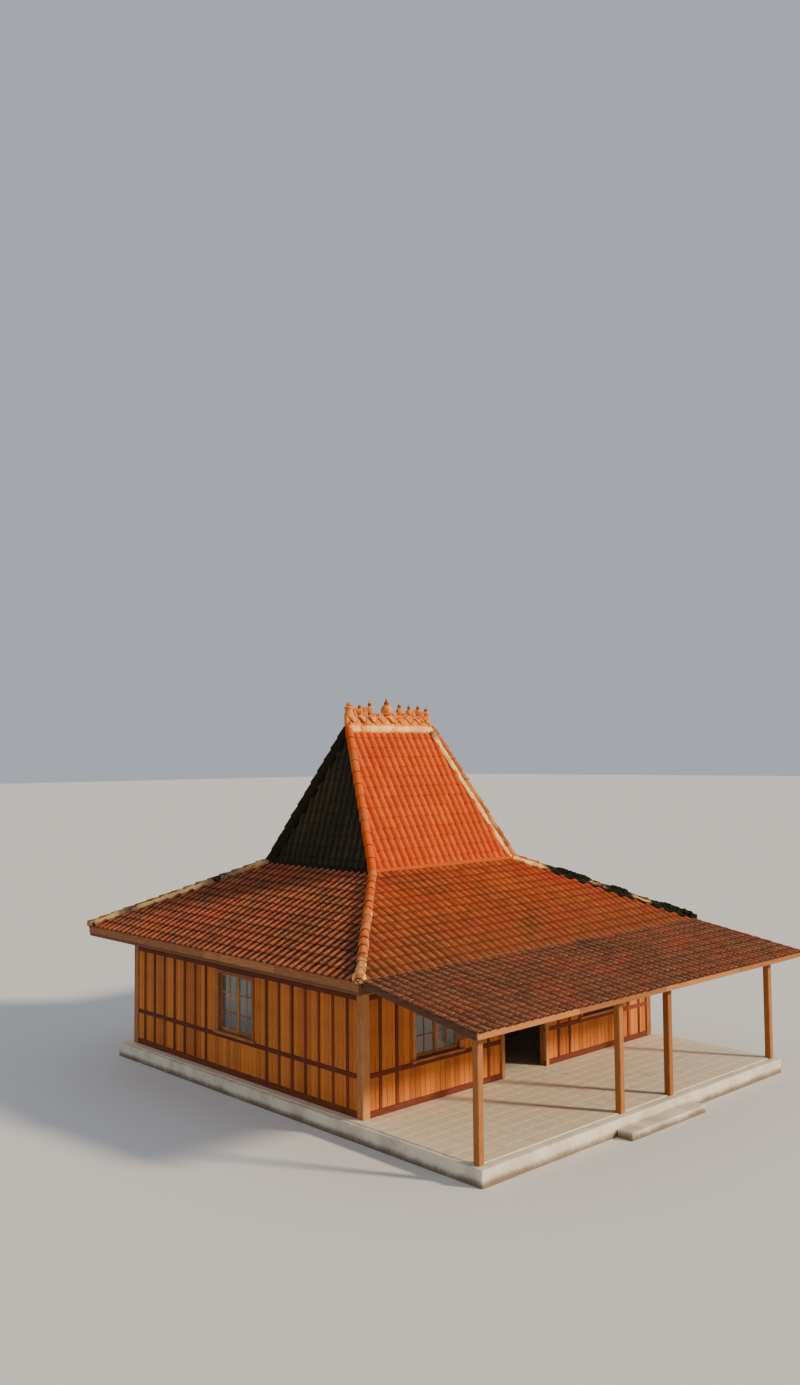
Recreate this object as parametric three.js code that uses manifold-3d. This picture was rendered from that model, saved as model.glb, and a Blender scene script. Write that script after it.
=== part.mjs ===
// A Javanese joglo house: a raised floor, a boarded room under a wide hipped roof,
// a steep hipped roof on four core posts above it, and a lean-to veranda in front.
// Millimetres, +Z up. The origin is on the ground under the centre of the steep roof,
// +X runs along the ridge and -Y is the veranda side.

import * as THREE from "three";
import { mergeVertices } from "three/addons/utils/BufferGeometryUtils.js";
import Module from "manifold-3d";

const wasm = await Module();
wasm.setup();

// Driving dimensions of the roof, measured on the upper faces of the tile beds
const RIDGE_HALF = 1320; // half length of the ridge
const RIDGE_Z = 7550;
const CORE_X = 2230; // half length of the steep roof's foot
const CORE_Y = 1800; // half width of the steep roof's foot
const CORE_Z = 4450; // height of the steep roof's foot
const SKIRT_RUN = 3000; // level run of the lower roof on every side
const EAVE_Z = 3000;
const PORCH_EAVE_Y = 7490; // distance of the veranda eave from the ridge
const PORCH_EAVE_Z = 2565;
const PORCH_X = 5150; // half length of the veranda roof

// Vertical depths under the tile surface
const UPPER_BED = 240;
const LOWER_BED = 110;
const RAFTER_DEPTH = 130;
const PORCH_BED = 40;
const PORCH_RAFTER_DEPTH = 70;

// Floor, posts, beams and walls
const FLOOR_Z = 300;
const PLINTH_X = 4750;
const PLINTH_FRONT = 7200;
const PLINTH_BACK = 4300;
const STEP = { width: 2400, run: 350, rise: 150 };
const WALL_X = 4450; // outer face of the end walls
const WALL_Y = 4000; // outer face of the front and back walls
const WALL_THICK = 120;
const WALL_TOP = 2960;
const DOORWAY = { width: 1300, head: 2450 };
const WINDOW = { width: 1200, sill: 1150, head: 2350, glass: 6 };
const FRONT_WINDOW_X = 2550;
const CORE_POST = 200;
const CORE_BEAM = { inner: 180, outer: 100, bottom: 3960, cap: 4310 };
const PORCH_POST = 135;
const PORCH_POST_Y = 6990;
const PORCH_POST_X = [790, 4600];
const PORCH_BEAM = { width: 120, depth: 160 };
const RAFTER_WIDTH = 60;
const RAFTER_PITCH = 500;
const FRAME_WIDTH = 50; // boards that tie the rafters along hips, head and foot
const BOARD_THICK = 25;
const EAVE_BOARD_DEPTH = 170;
const PORCH_BOARD_DEPTH = 110;

// Mortar bands with round caps on the hips, and the ridge crest
const BAND = { halfWidth: 125, upperRise: 70, lowerRise: 35, ringOut: 90, ringRise: 110 };
const HIP_CAP = { upper: 90, lower: 78, sides: 12 }; // radii of the round caps
const RIDGE_CAP = { halfWidth: 65, over: 50, top: 7650 };
const CREST = { thick: 100, bandTop: 7840, left: -1425, right: 1270 };
const FINIAL_SIDES = 10;
const FINIALS = [
  { x: -1315, radius: 105, tip: 8140 },
  { x: -995, radius: 85, tip: 8130 },
  { x: -680, radius: 85, tip: 8215 },
  { x: -150, radius: 140, tip: 8295 },
  { x: 265, radius: 85, tip: 8190 },
  { x: 580, radius: 82, tip: 8145 },
  { x: 880, radius: 88, tip: 8145 },
  { x: 1150, radius: 92, tip: 8080 },
];

const CLEAR = 0.3; // gap kept between neighbours that are cut to each other

const EAVE_X = CORE_X + SKIRT_RUN;
const EAVE_Y = CORE_Y + SKIRT_RUN;
const PORCH_SLOPE = (EAVE_Z - PORCH_EAVE_Z) / (PORCH_EAVE_Y - EAVE_Y);
const RAFTER_UNDER = LOWER_BED + RAFTER_DEPTH;

const teak = new THREE.MeshStandardMaterial({ color: 0xa8602c, roughness: 0.65, metalness: 0 });
const boards = new THREE.MeshStandardMaterial({ color: 0xb86a2e, roughness: 0.6, metalness: 0 });
const tiles = new THREE.MeshStandardMaterial({ color: 0xb5462a, roughness: 0.85, metalness: 0 });
const terracotta = new THREE.MeshStandardMaterial({ color: 0xd07a4c, roughness: 0.8, metalness: 0 });
const mortar = new THREE.MeshStandardMaterial({ color: 0xd9c6ae, roughness: 0.9, metalness: 0 });
const plaster = new THREE.MeshStandardMaterial({ color: 0xd8cfbf, roughness: 0.9, metalness: 0 });
const glass = new THREE.MeshStandardMaterial({ color: 0x9db4b8, roughness: 0.05, metalness: 0 });

const group = new THREE.Group();

// Adds one named piece to the house.
function addPiece(name, geometry, material) {
  const mesh = new THREE.Mesh(geometry, material);
  mesh.name = name;
  group.add(mesh);
}

// Turns a closed geometry into a solid that can be joined and cut.
function toSolid(geometry) {
  const bare = geometry.clone();
  bare.deleteAttribute("normal");
  bare.deleteAttribute("uv");
  const merged = mergeVertices(bare, 1e-3);
  return new wasm.Manifold(
    new wasm.Mesh({
      numProp: 3,
      vertProperties: merged.attributes.position.array,
      triVerts: new Uint32Array(merged.index.array),
    }),
  );
}

// Turns a solid back into a geometry.
function toGeometry(solid) {
  const mesh = solid.getMesh();
  const geometry = new THREE.BufferGeometry();
  geometry.setAttribute("position", new THREE.BufferAttribute(mesh.vertProperties, mesh.numProp));
  geometry.setIndex(new THREE.BufferAttribute(mesh.triVerts, 1));
  geometry.computeVertexNormals();
  return geometry;
}

// Joins solids into one.
function joined(parts) {
  return parts.reduce((sum, part) => sum.add(part));
}

// A box between two corners.
function box(low, high) {
  const size = high.map((value, i) => value - low[i]);
  const centre = high.map((value, i) => (value + low[i]) / 2);
  return new THREE.BoxGeometry(...size).translate(...centre);
}

function shapeOf(points) {
  return new THREE.Shape(points.map(([x, y]) => new THREE.Vector2(x, y)));
}

// A vertical prism over a plan outline.
function prism(outline, low, high) {
  const geometry = new THREE.ExtrudeGeometry(shapeOf(outline), {
    depth: high - low,
    bevelEnabled: false,
  });
  return geometry.translate(0, 0, low);
}

// The four sides of the house. A side's outward direction is turned from +X about Z,
// and its reach is where the steep roof starts and ends along that direction.
const ENDS = { head: RIDGE_HALF, foot: CORE_X, eave: EAVE_X, along: EAVE_Y };
const FRONTS = { head: 0, foot: CORE_Y, eave: EAVE_Y, along: EAVE_X };
const SIDES = {
  right: { turn: 0, ...ENDS },
  back: { turn: Math.PI / 2, ...FRONTS },
  left: { turn: Math.PI, ...ENDS },
  front: { turn: -Math.PI / 2, ...FRONTS },
};

// Sweeps a profile of (outward distance, height) points along a side, from -half to +half.
function sweep(side, profile, half, centre = 0) {
  const geometry = new THREE.ExtrudeGeometry(shapeOf(profile), {
    depth: 2 * half,
    bevelEnabled: false,
  });
  // The profile is drawn in X and Y: Y goes up and the sweep runs along the side.
  geometry.rotateX(Math.PI / 2);
  geometry.translate(0, half + centre, 0);
  geometry.rotateZ(side.turn);
  return geometry;
}

// The plan area that a side's roof faces cover, drawn in at its hips by inset.
function sector(side, inset) {
  const headHalf = side.head === 0 ? RIDGE_HALF : 0;
  const footHalf = side.along - SKIRT_RUN;
  const start = side.head + inset;
  const outline = [
    [start, -Math.max(headHalf - inset, 0)],
    [side.foot, -(footHalf - inset)],
    [side.eave + SKIRT_RUN, -(side.along + SKIRT_RUN - inset)],
    [side.eave + SKIRT_RUN, side.along + SKIRT_RUN - inset],
    [side.foot, footHalf - inset],
  ];
  if (headHalf > 0) outline.push([start, headHalf - inset]);
  return prism(outline, 0, RIDGE_Z + 1000).rotateZ(side.turn);
}

// A roof layer of one side between two distances, from its upper face down by depth.
function layer(from, to, depth) {
  const [near, nearZ] = from;
  const [far, farZ] = to;
  return [
    [near, nearZ - depth],
    [far, farZ - depth],
    [far, farZ],
    [near, nearZ],
  ];
}

// Keeps the part of a swept profile that lies within its side's plan area.
function trimmed(side, profile) {
  return toSolid(sweep(side, profile, side.along + 10)).intersect(toSolid(sector(side, CLEAR)));
}

// A closed hipped body: sloping faces from a foot rectangle up to a smaller head rectangle,
// both shifted by lift, over upright sides that go down to base.
function hipped(foot, head, base, lift) {
  const corners = ([x, y], z) => [
    [-x, -y, z],
    [x, -y, z],
    [x, y, z],
    [-x, y, z],
  ];
  const points = [
    ...corners(foot, base),
    ...corners(foot, foot[2] + lift),
    ...corners(head, head[2] + lift),
  ];
  const faces = [
    [0, 2, 1],
    [0, 3, 2],
    [8, 9, 10],
    [8, 10, 11],
  ];
  for (const ring of [0, 4]) {
    for (let i = 0; i < 4; i += 1) {
      const next = (i + 1) % 4;
      faces.push([ring + i, ring + next, ring + next + 4]);
      faces.push([ring + i, ring + next + 4, ring + i + 4]);
    }
  }
  const geometry = new THREE.BufferGeometry();
  geometry.setAttribute("position", new THREE.Float32BufferAttribute(points.flat(), 3));
  geometry.setIndex(faces.flat());
  return toSolid(geometry);
}
const RIDGE_FLAT = 1; // half width of the ridge's flat top, so that the body stays simple
const RIDGE = [RIDGE_HALF, RIDGE_FLAT, RIDGE_Z];
const CORE = [CORE_X, CORE_Y, CORE_Z];
const EAVES = [EAVE_X, EAVE_Y, EAVE_Z];
const BODY_BASE = 2500; // level of the bodies' undersides, below everything that they cut
const steepBody = (lift) => hipped(CORE, RIDGE, BODY_BASE, lift);
const skirtBody = (lift) => hipped(EAVES, CORE, BODY_BASE, lift);

const porchZ = (distance) => EAVE_Z - (distance - EAVE_Y) * PORCH_SLOPE;

// Floor
addPiece(
  "plinth",
  box([-PLINTH_X, -PLINTH_FRONT, 0], [PLINTH_X, PLINTH_BACK, FLOOR_Z]),
  plaster,
);
addPiece(
  "front_step",
  box([-STEP.width / 2, -PLINTH_FRONT - STEP.run, 0], [STEP.width / 2, -PLINTH_FRONT, STEP.rise]),
  plaster,
);

// Steep roof and lower roof, each in four faces
for (const [name, side] of Object.entries(SIDES)) {
  const upper = layer([side.head, RIDGE_Z], [side.foot, CORE_Z], UPPER_BED);
  addPiece("upper_roof_" + name, toGeometry(trimmed(side, upper)), tiles);
  const lower = layer([side.foot, CORE_Z], [side.eave, EAVE_Z], LOWER_BED);
  addPiece("lower_roof_" + name, toGeometry(trimmed(side, lower)), tiles);
}
addPiece(
  "veranda_roof",
  sweep(
    SIDES.front,
    layer([EAVE_Y, EAVE_Z], [PORCH_EAVE_Y, PORCH_EAVE_Z], PORCH_BED),
    PORCH_X,
  ),
  tiles,
);

// Evenly spaced rafter centres along a side, the same distance from both corners.
function rafterCentres(half) {
  const bays = Math.round((2 * half) / RAFTER_PITCH);
  return Array.from({ length: bays - 1 }, (_, i) => -half + ((i + 1) * 2 * half) / bays);
}

// Rafters of the lower roof: a flat frame of ties with rafters between them
for (const [name, side] of Object.entries(SIDES)) {
  const top = layer(
    [side.foot, CORE_Z - LOWER_BED - CLEAR],
    [side.eave, EAVE_Z - LOWER_BED - CLEAR],
    RAFTER_DEPTH - CLEAR,
  );
  const bed = trimmed(side, top);
  const footHalf = side.along - SKIRT_RUN;
  const opening = prism(
    [
      [side.foot + FRAME_WIDTH, -footHalf],
      [side.eave - FRAME_WIDTH, -(side.along - 2 * FRAME_WIDTH)],
      [side.eave - FRAME_WIDTH, side.along - 2 * FRAME_WIDTH],
      [side.foot + FRAME_WIDTH, footHalf],
    ],
    0,
    RIDGE_Z,
  ).rotateZ(side.turn);
  const keep = rafterCentres(side.along).map((centre) => {
    const half = RAFTER_WIDTH / 2;
    const reach = box([0, centre - half, -1], [side.eave, centre + half, RIDGE_Z + 1]);
    return toSolid(reach.rotateZ(side.turn));
  });
  const comb = bed.subtract(toSolid(opening).subtract(joined(keep)));
  addPiece("lower_rafters_" + name, toGeometry(comb), teak);
}

// Rafters of the veranda
{
  const bedZ = (distance) => porchZ(distance) - PORCH_BED - CLEAR;
  const bed = sweep(
    SIDES.front,
    layer(
      [EAVE_Y, bedZ(EAVE_Y)],
      [PORCH_EAVE_Y, bedZ(PORCH_EAVE_Y)],
      PORCH_RAFTER_DEPTH - CLEAR,
    ),
    PORCH_X,
  );
  const reach = PORCH_X - RAFTER_WIDTH;
  const pockets = toSolid(
    box(
      [-reach, -PORCH_EAVE_Y + FRAME_WIDTH, 0],
      [reach, -EAVE_Y - FRAME_WIDTH, RIDGE_Z],
    ),
  );
  const keep = rafterCentres(reach).map((centre) => {
    const half = RAFTER_WIDTH / 2;
    return toSolid(box([centre - half, -PORCH_EAVE_Y, -1], [centre + half, 0, RIDGE_Z + 1]));
  });
  const comb = toSolid(bed).subtract(pockets.subtract(joined(keep)));
  addPiece("veranda_rafters", toGeometry(comb), teak);
}

// Core posts and the ring beam on them, bevelled to both roofs
for (const [name, sx, sy] of [
  ["front_left", -1, -1],
  ["front_right", 1, -1],
  ["back_left", -1, 1],
  ["back_right", 1, 1],
]) {
  const x = sx * (CORE_X - CORE_BEAM.inner / 2 + CORE_BEAM.outer / 2);
  const y = sy * (CORE_Y - CORE_BEAM.inner / 2 + CORE_BEAM.outer / 2);
  const half = CORE_POST / 2;
  addPiece(
    "core_post_" + name,
    box([x - half, y - half, FLOOR_Z], [x + half, y + half, CORE_BEAM.bottom]),
    teak,
  );
}
// A level frame of beams, with its inner and outer faces given as half sizes.
function beamFrame(inner, outer, bottom, top) {
  const frame = toSolid(box([-outer[0], -outer[1], bottom], [outer[0], outer[1], top]));
  return frame.subtract(
    toSolid(box([-inner[0], -inner[1], bottom - 1], [inner[0], inner[1], top + 1])),
  );
}
const underRoofs = steepBody(-UPPER_BED - CLEAR).add(skirtBody(-RAFTER_UNDER - CLEAR));
const coreFrame = beamFrame(
  [CORE_X - CORE_BEAM.inner, CORE_Y - CORE_BEAM.inner],
  [CORE_X + CORE_BEAM.outer, CORE_Y + CORE_BEAM.outer],
  CORE_BEAM.bottom,
  CORE_BEAM.cap,
);
addPiece("core_ring_beam", toGeometry(coreFrame.intersect(underRoofs)), teak);

// Ring beam on the walls
const wallFrame = beamFrame(
  [WALL_X - WALL_THICK, WALL_Y - WALL_THICK],
  [WALL_X, WALL_Y],
  WALL_TOP,
  CORE_Z,
);
addPiece("wall_ring_beam", toGeometry(wallFrame.intersect(underRoofs)), teak);

// A wall along X from x0 to x1, with its outer face at y = 0 before it is placed,
// and window holes at the given centres.
function wallGeometry(x0, x1, windows) {
  const outline = shapeOf([
    [x0, FLOOR_Z],
    [x1, FLOOR_Z],
    [x1, WALL_TOP],
    [x0, WALL_TOP],
  ]);
  for (const x of windows) {
    const half = WINDOW.width / 2;
    const hole = [
      [x - half, WINDOW.sill],
      [x - half, WINDOW.head],
      [x + half, WINDOW.head],
      [x + half, WINDOW.sill],
    ];
    outline.holes.push(new THREE.Path(hole.map(([px, py]) => new THREE.Vector2(px, py))));
  }
  const geometry = new THREE.ExtrudeGeometry(outline, { depth: WALL_THICK, bevelEnabled: false });
  return geometry.rotateX(Math.PI / 2).translate(0, WALL_THICK, 0);
}

// A pane that fills one window hole, in the middle of the wall's thickness.
function paneGeometry(x) {
  const half = WINDOW.glass / 2;
  const middle = WALL_THICK / 2;
  return box(
    [x - WINDOW.width / 2, middle - half, WINDOW.sill],
    [x + WINDOW.width / 2, middle + half, WINDOW.head],
  );
}

// Front wall: a doorway with a header, and a window on each side of it
const doorHalf = DOORWAY.width / 2;
for (const [name, sign] of [
  ["left", -1],
  ["right", 1],
]) {
  const ends = [sign * doorHalf, sign * WALL_X].sort((a, b) => a - b);
  const window = sign * FRONT_WINDOW_X;
  addPiece(
    "front_wall_" + name,
    wallGeometry(...ends, [window]).translate(0, -WALL_Y, 0),
    boards,
  );
  addPiece(
    "front_window_glass_" + name,
    paneGeometry(window).translate(0, -WALL_Y, 0),
    glass,
  );
}
addPiece(
  "front_wall_header",
  box(
    [-doorHalf, -WALL_Y, DOORWAY.head],
    [doorHalf, -WALL_Y + WALL_THICK, WALL_TOP],
  ),
  boards,
);

// Back wall and end walls, each with one window in the middle
const endHalf = WALL_Y - WALL_THICK;
for (const [name, half, turn, reach] of [
  ["back", WALL_X, Math.PI, WALL_Y],
  ["left", endHalf, -Math.PI / 2, WALL_X],
  ["right", endHalf, Math.PI / 2, WALL_X],
]) {
  const place = (geometry) => geometry.translate(0, -reach, 0).rotateZ(turn);
  addPiece(name + "_wall", place(wallGeometry(-half, half, [0])), boards);
  addPiece(name + "_window_glass", place(paneGeometry(0)), glass);
}

// Veranda posts and the beam on them
const porchBeamIn = PORCH_POST_Y - PORCH_BEAM.width / 2;
const porchBeamOut = PORCH_POST_Y + PORCH_BEAM.width / 2;
const porchUnder = (distance) => porchZ(distance) - PORCH_BED - PORCH_RAFTER_DEPTH - CLEAR;
const porchBeamBottom = porchUnder(porchBeamOut) - PORCH_BEAM.depth;
for (const [index, x] of PORCH_POST_X.entries()) {
  for (const [name, sign] of [
    ["left", -1],
    ["right", 1],
  ]) {
    const half = PORCH_POST / 2;
    addPiece(
      "veranda_post_" + name + "_" + (index + 1),
      box(
        [sign * x - half, -PORCH_POST_Y - half, FLOOR_Z],
        [sign * x + half, -PORCH_POST_Y + half, porchBeamBottom],
      ),
      teak,
    );
  }
}
addPiece(
  "veranda_beam",
  sweep(
    SIDES.front,
    [
      [porchBeamIn, porchBeamBottom],
      [porchBeamOut, porchBeamBottom],
      [porchBeamOut, porchUnder(porchBeamOut)],
      [porchBeamIn, porchUnder(porchBeamIn)],
    ],
    PORCH_X - 2 * FRAME_WIDTH,
  ),
  teak,
);

// Eave boards on the ends and the back, and boards round the veranda roof
for (const name of ["left", "right", "back"]) {
  const side = SIDES[name];
  addPiece(
    "eave_board_" + name,
    sweep(
      side,
      [
        [side.eave, EAVE_Z - EAVE_BOARD_DEPTH],
        [side.eave + BOARD_THICK, EAVE_Z - EAVE_BOARD_DEPTH],
        [side.eave + BOARD_THICK, EAVE_Z],
        [side.eave, EAVE_Z],
      ],
      name === "back" ? EAVE_X : EAVE_Y,
    ),
    teak,
  );
}
addPiece(
  "veranda_eave_board",
  sweep(
    SIDES.front,
    [
      [PORCH_EAVE_Y, PORCH_EAVE_Z - PORCH_BOARD_DEPTH],
      [PORCH_EAVE_Y + BOARD_THICK, PORCH_EAVE_Z - PORCH_BOARD_DEPTH],
      [PORCH_EAVE_Y + BOARD_THICK, PORCH_EAVE_Z],
      [PORCH_EAVE_Y, PORCH_EAVE_Z],
    ],
    PORCH_X,
  ),
  teak,
);
for (const [name, sign] of [
  ["left", -1],
  ["right", 1],
]) {
  addPiece(
    "veranda_verge_board_" + name,
    sweep(
      SIDES.front,
      layer(
        [EAVE_Y + CLEAR, porchZ(EAVE_Y + CLEAR)],
        [PORCH_EAVE_Y + BOARD_THICK, porchZ(PORCH_EAVE_Y + BOARD_THICK)],
        PORCH_BOARD_DEPTH,
      ),
      BOARD_THICK / 2,
      sign * (PORCH_X + BOARD_THICK / 2),
    ),
    teak,
  );
}

// A vertical strip of the plan, from one point to another.
function strip(from, to, halfWidth, low, high) {
  const along = new THREE.Vector2(to[0] - from[0], to[1] - from[1]).normalize();
  const across = new THREE.Vector2(-along.y, along.x).multiplyScalar(halfWidth);
  const corners = [
    [from[0] - across.x, from[1] - across.y],
    [to[0] - across.x, to[1] - across.y],
    [to[0] + across.x, to[1] + across.y],
    [from[0] + across.x, from[1] + across.y],
  ];
  return toSolid(prism(corners, low, high));
}
const CORNERS = [
  [-1, -1],
  [1, -1],
  [1, 1],
  [-1, 1],
];

// A round bar from one point to another.
function bar(from, to, radius, sides) {
  const start = new THREE.Vector3(...from);
  const end = new THREE.Vector3(...to);
  const along = end.clone().sub(start);
  const turn = new THREE.Quaternion().setFromUnitVectors(
    new THREE.Vector3(0, 1, 0),
    along.clone().normalize(),
  );
  const middle = start.add(end).divideScalar(2);
  const geometry = new THREE.CylinderGeometry(radius, radius, along.length(), sides);
  return toSolid(geometry.applyQuaternion(turn).translate(middle.x, middle.y, middle.z));
}

// The bedding strips and round caps along four hips, as one solid over the given body.
function hips(foot, head, radius, raised) {
  const strips = CORNERS.map(([sx, sy]) =>
    strip(
      [sx * foot[0], sy * foot[1]],
      [sx * head[0], sy * head[1]],
      BAND.halfWidth,
      EAVE_Z,
      RIDGE_Z,
    ),
  );
  const caps = CORNERS.map(([sx, sy]) =>
    bar(
      [sx * foot[0], sy * foot[1], foot[2]],
      [sx * head[0], sy * head[1], head[2]],
      radius,
      HIP_CAP.sides,
    ),
  );
  return raised.intersect(joined(strips)).add(joined(caps));
}

// Mortar on the ridge and on the four upper hips
const ringTop = CORE_Z + BAND.ringRise;
{
  const shell = hips(CORE, [RIDGE_HALF, 0, RIDGE_Z], HIP_CAP.upper, steepBody(BAND.upperRise));
  const above = toSolid(
    box([-CORE_X * 2, -CORE_Y * 2, ringTop + CLEAR], [CORE_X * 2, CORE_Y * 2, RIDGE_CAP.top]),
  );
  const capEnd = RIDGE_HALF + RIDGE_CAP.over;
  const cap = toSolid(
    box(
      [-capEnd, -RIDGE_CAP.halfWidth, RIDGE_Z - UPPER_BED],
      [capEnd, RIDGE_CAP.halfWidth, RIDGE_CAP.top],
    ),
  );
  const solid = shell.intersect(above).add(cap).subtract(steepBody(CLEAR));
  addPiece("upper_mortar", toGeometry(solid), mortar);
}

// Mortar round the steep roof's foot and on the four lower hips
{
  const out = BAND.ringOut;
  const ring = toSolid(
    box([-CORE_X - out, -CORE_Y - out, EAVE_Z], [CORE_X + out, CORE_Y + out, ringTop]),
  );
  const within = toSolid(
    box([-EAVE_X, -EAVE_Y, EAVE_Z], [EAVE_X, EAVE_Y, ringTop]),
  );
  const shell = hips(EAVES, CORE, HIP_CAP.lower, skirtBody(BAND.lowerRise)).add(ring);
  const solid = shell.intersect(within).subtract(steepBody(CLEAR)).subtract(skirtBody(CLEAR));
  addPiece("lower_mortar", toGeometry(solid), mortar);
}

// A turned finial that stands on the crest's band: a bulb under a thin tip.
function finial({ x, radius, tip }) {
  const rise = tip - CREST.bandTop;
  const foot = -RIDGE_CAP.over / 2;
  const profile = [
    [0, foot],
    [radius * 0.6, foot],
    [radius * 0.6, rise * 0.08],
    [radius, rise * 0.3],
    [radius * 0.85, rise * 0.48],
    [radius * 0.36, rise * 0.7],
    [radius * 0.16, rise],
    [0, rise],
  ];
  const points = profile.map(([px, py]) => new THREE.Vector2(px, py));
  const geometry = new THREE.LatheGeometry(points, FINIAL_SIDES);
  return toSolid(geometry.rotateX(Math.PI / 2).translate(x, 0, CREST.bandTop));
}

// Ridge crest: a terracotta band with a row of finials, the middle one tallest
{
  const band = toSolid(
    box(
      [CREST.left, -CREST.thick / 2, RIDGE_CAP.top],
      [CREST.right, CREST.thick / 2, CREST.bandTop],
    ),
  );
  addPiece("ridge_crest", toGeometry(joined([band, ...FINIALS.map(finial)])), terracotta);
}

export default group;
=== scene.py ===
# %% [markdown]
# # A joglo house
#
# A joglo is a house of central Java. Four posts carry a steep hipped roof with a short
# ridge, and a wide low roof runs round it down to the walls. This one also has a
# lean-to veranda in front.
#
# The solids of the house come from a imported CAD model, which is loaded as a fixed
# frame. This lesson dresses them: it lays the clay tiles, beds the hips in mortar, sets
# the finials on the ridge, boards the walls, and gives every surface a finish.

import math
import random
from contextlib import contextmanager

import bmesh
import bpy
from mathutils import Matrix, Vector, noise


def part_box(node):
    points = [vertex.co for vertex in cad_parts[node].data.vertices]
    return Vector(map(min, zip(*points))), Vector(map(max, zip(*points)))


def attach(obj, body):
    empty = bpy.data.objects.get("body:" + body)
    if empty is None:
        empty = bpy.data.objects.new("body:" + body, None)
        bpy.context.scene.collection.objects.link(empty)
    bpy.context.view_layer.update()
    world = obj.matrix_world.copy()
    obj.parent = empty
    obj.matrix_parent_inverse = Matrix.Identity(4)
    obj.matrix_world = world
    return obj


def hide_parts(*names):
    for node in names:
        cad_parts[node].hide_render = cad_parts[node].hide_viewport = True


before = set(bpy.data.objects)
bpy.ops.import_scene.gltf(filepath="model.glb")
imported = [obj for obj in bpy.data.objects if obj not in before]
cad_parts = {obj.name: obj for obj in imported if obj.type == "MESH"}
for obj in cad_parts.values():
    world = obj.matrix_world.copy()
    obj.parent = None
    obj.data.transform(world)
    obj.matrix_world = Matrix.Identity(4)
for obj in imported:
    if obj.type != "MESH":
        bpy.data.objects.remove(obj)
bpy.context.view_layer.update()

# %% [markdown]
# ## The roof in numbers
#
# Every roof surface is a plane, so the tiles, hips and ridge can all be placed from a
# few corner points. They could be read from the loaded meshes, but the points of the
# design are clearer: the ridge, the foot of the steep roof, and the eaves. They are in
# metres, in the frame of the model, with the ridge along X and the veranda at -Y.

# %% Corner points of the roof
RIDGE_HALF = 1.32
RIDGE_Z = 7.55
FOOT_X = 2.23
FOOT_Y = 1.80
FOOT_Z = 4.45
EAVE_X = 5.23
EAVE_Y = 4.80
EAVE_Z = 3.00
VERANDA_X = 5.15
VERANDA_Y = 7.49
VERANDA_Z = 2.565

# Each side's outward direction is +X turned about the vertical by its angle.
SIDE_TURNS = {
    "right": 0.0,
    "back": math.radians(90),
    "left": math.radians(180),
    "front": math.radians(-90),
}


def side_frame(side):
    """The outward direction of a side, and the one to the right seen from outside."""
    turn = SIDE_TURNS[side]
    outward = Vector((math.cos(turn), math.sin(turn), 0))
    return outward, Vector((-outward.y, outward.x, 0))


print("steep roof rises", RIDGE_Z - FOOT_Z, "m, lower roof", FOOT_Z - EAVE_Z, "m")

# %% [markdown]
# ## The camera
#
# The house was photographed from raised ground in front of its left corner, with the
# camera almost level. The camera's place, direction and lens were worked out from the
# straight edges of the roof. A camera in Blender looks along its own -Z, so its matrix
# is built from the right, up and backward directions.

# %% Camera
EYE = Vector((-18.230, -19.796, 6.878))
YAW = math.radians(43.10)
PITCH = math.radians(3.232)
ROLL = math.radians(-0.514)
LENS_MM = 29.47
SENSOR_MM = 36.0

ahead = Vector((
    math.sin(YAW) * math.cos(PITCH),
    math.cos(YAW) * math.cos(PITCH),
    math.sin(PITCH),
))
level_right = Vector((math.cos(YAW), -math.sin(YAW), 0))
level_up = level_right.cross(ahead)
camera_right = math.cos(ROLL) * level_right + math.sin(ROLL) * level_up
camera_up = math.cos(ROLL) * level_up - math.sin(ROLL) * level_right

camera_data = bpy.data.cameras.new("house_camera")
camera_data.lens = LENS_MM
camera_data.sensor_width = SENSOR_MM
camera_data.clip_end = 1000
camera = bpy.data.objects.new("house_camera", camera_data)
turned = Matrix((camera_right, camera_up, -ahead)).transposed()
camera.matrix_world = Matrix.Translation(EYE) @ turned.to_4x4()
bpy.context.scene.collection.objects.link(camera)
bpy.context.scene.camera = camera
print("camera at", tuple(round(v, 2) for v in camera.matrix_world.translation))

# %% [markdown]
# ## Shader maths that reads like Python
#
# A finish is a graph of nodes. Building it node by node is hard to read, so one class
# adds nodes to a tree, and another wraps a number that flows through it. Because the
# second class overloads the arithmetic operators, `1 - mask * 0.5` adds the Math nodes
# for us. Colours and vectors don't use it: they have Mix and Vector Math nodes.

# %% A maker of nodes, and the signals between them
class Signal:
    """A number that flows through a node tree. Arithmetic on it adds Math nodes."""

    def __init__(self, maker, socket):
        self.maker = maker
        self.socket = socket

    def math(self, operation, first, second):
        settings = {"operation": operation}
        return self.maker.node("ShaderNodeMath", settings, {0: first, 1: second})

    def __add__(self, other):
        return self.math("ADD", self, other)

    def __radd__(self, other):
        return self.math("ADD", other, self)

    def __sub__(self, other):
        return self.math("SUBTRACT", self, other)

    def __rsub__(self, other):
        return self.math("SUBTRACT", other, self)

    def __mul__(self, other):
        return self.math("MULTIPLY", self, other)

    def __rmul__(self, other):
        return self.math("MULTIPLY", other, self)

    def larger(self, other):
        return self.math("MAXIMUM", self, other)

    def fraction(self):
        return self.math("FRACT", self, 0.0)

    def between(self, low, high):
        """0 below low, 1 above high, and a soft step from one to the other."""
        settings = {"interpolation_type": "SMOOTHSTEP"}
        return self.maker.node("ShaderNodeMapRange", settings, {0: self, 1: low, 2: high})


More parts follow.
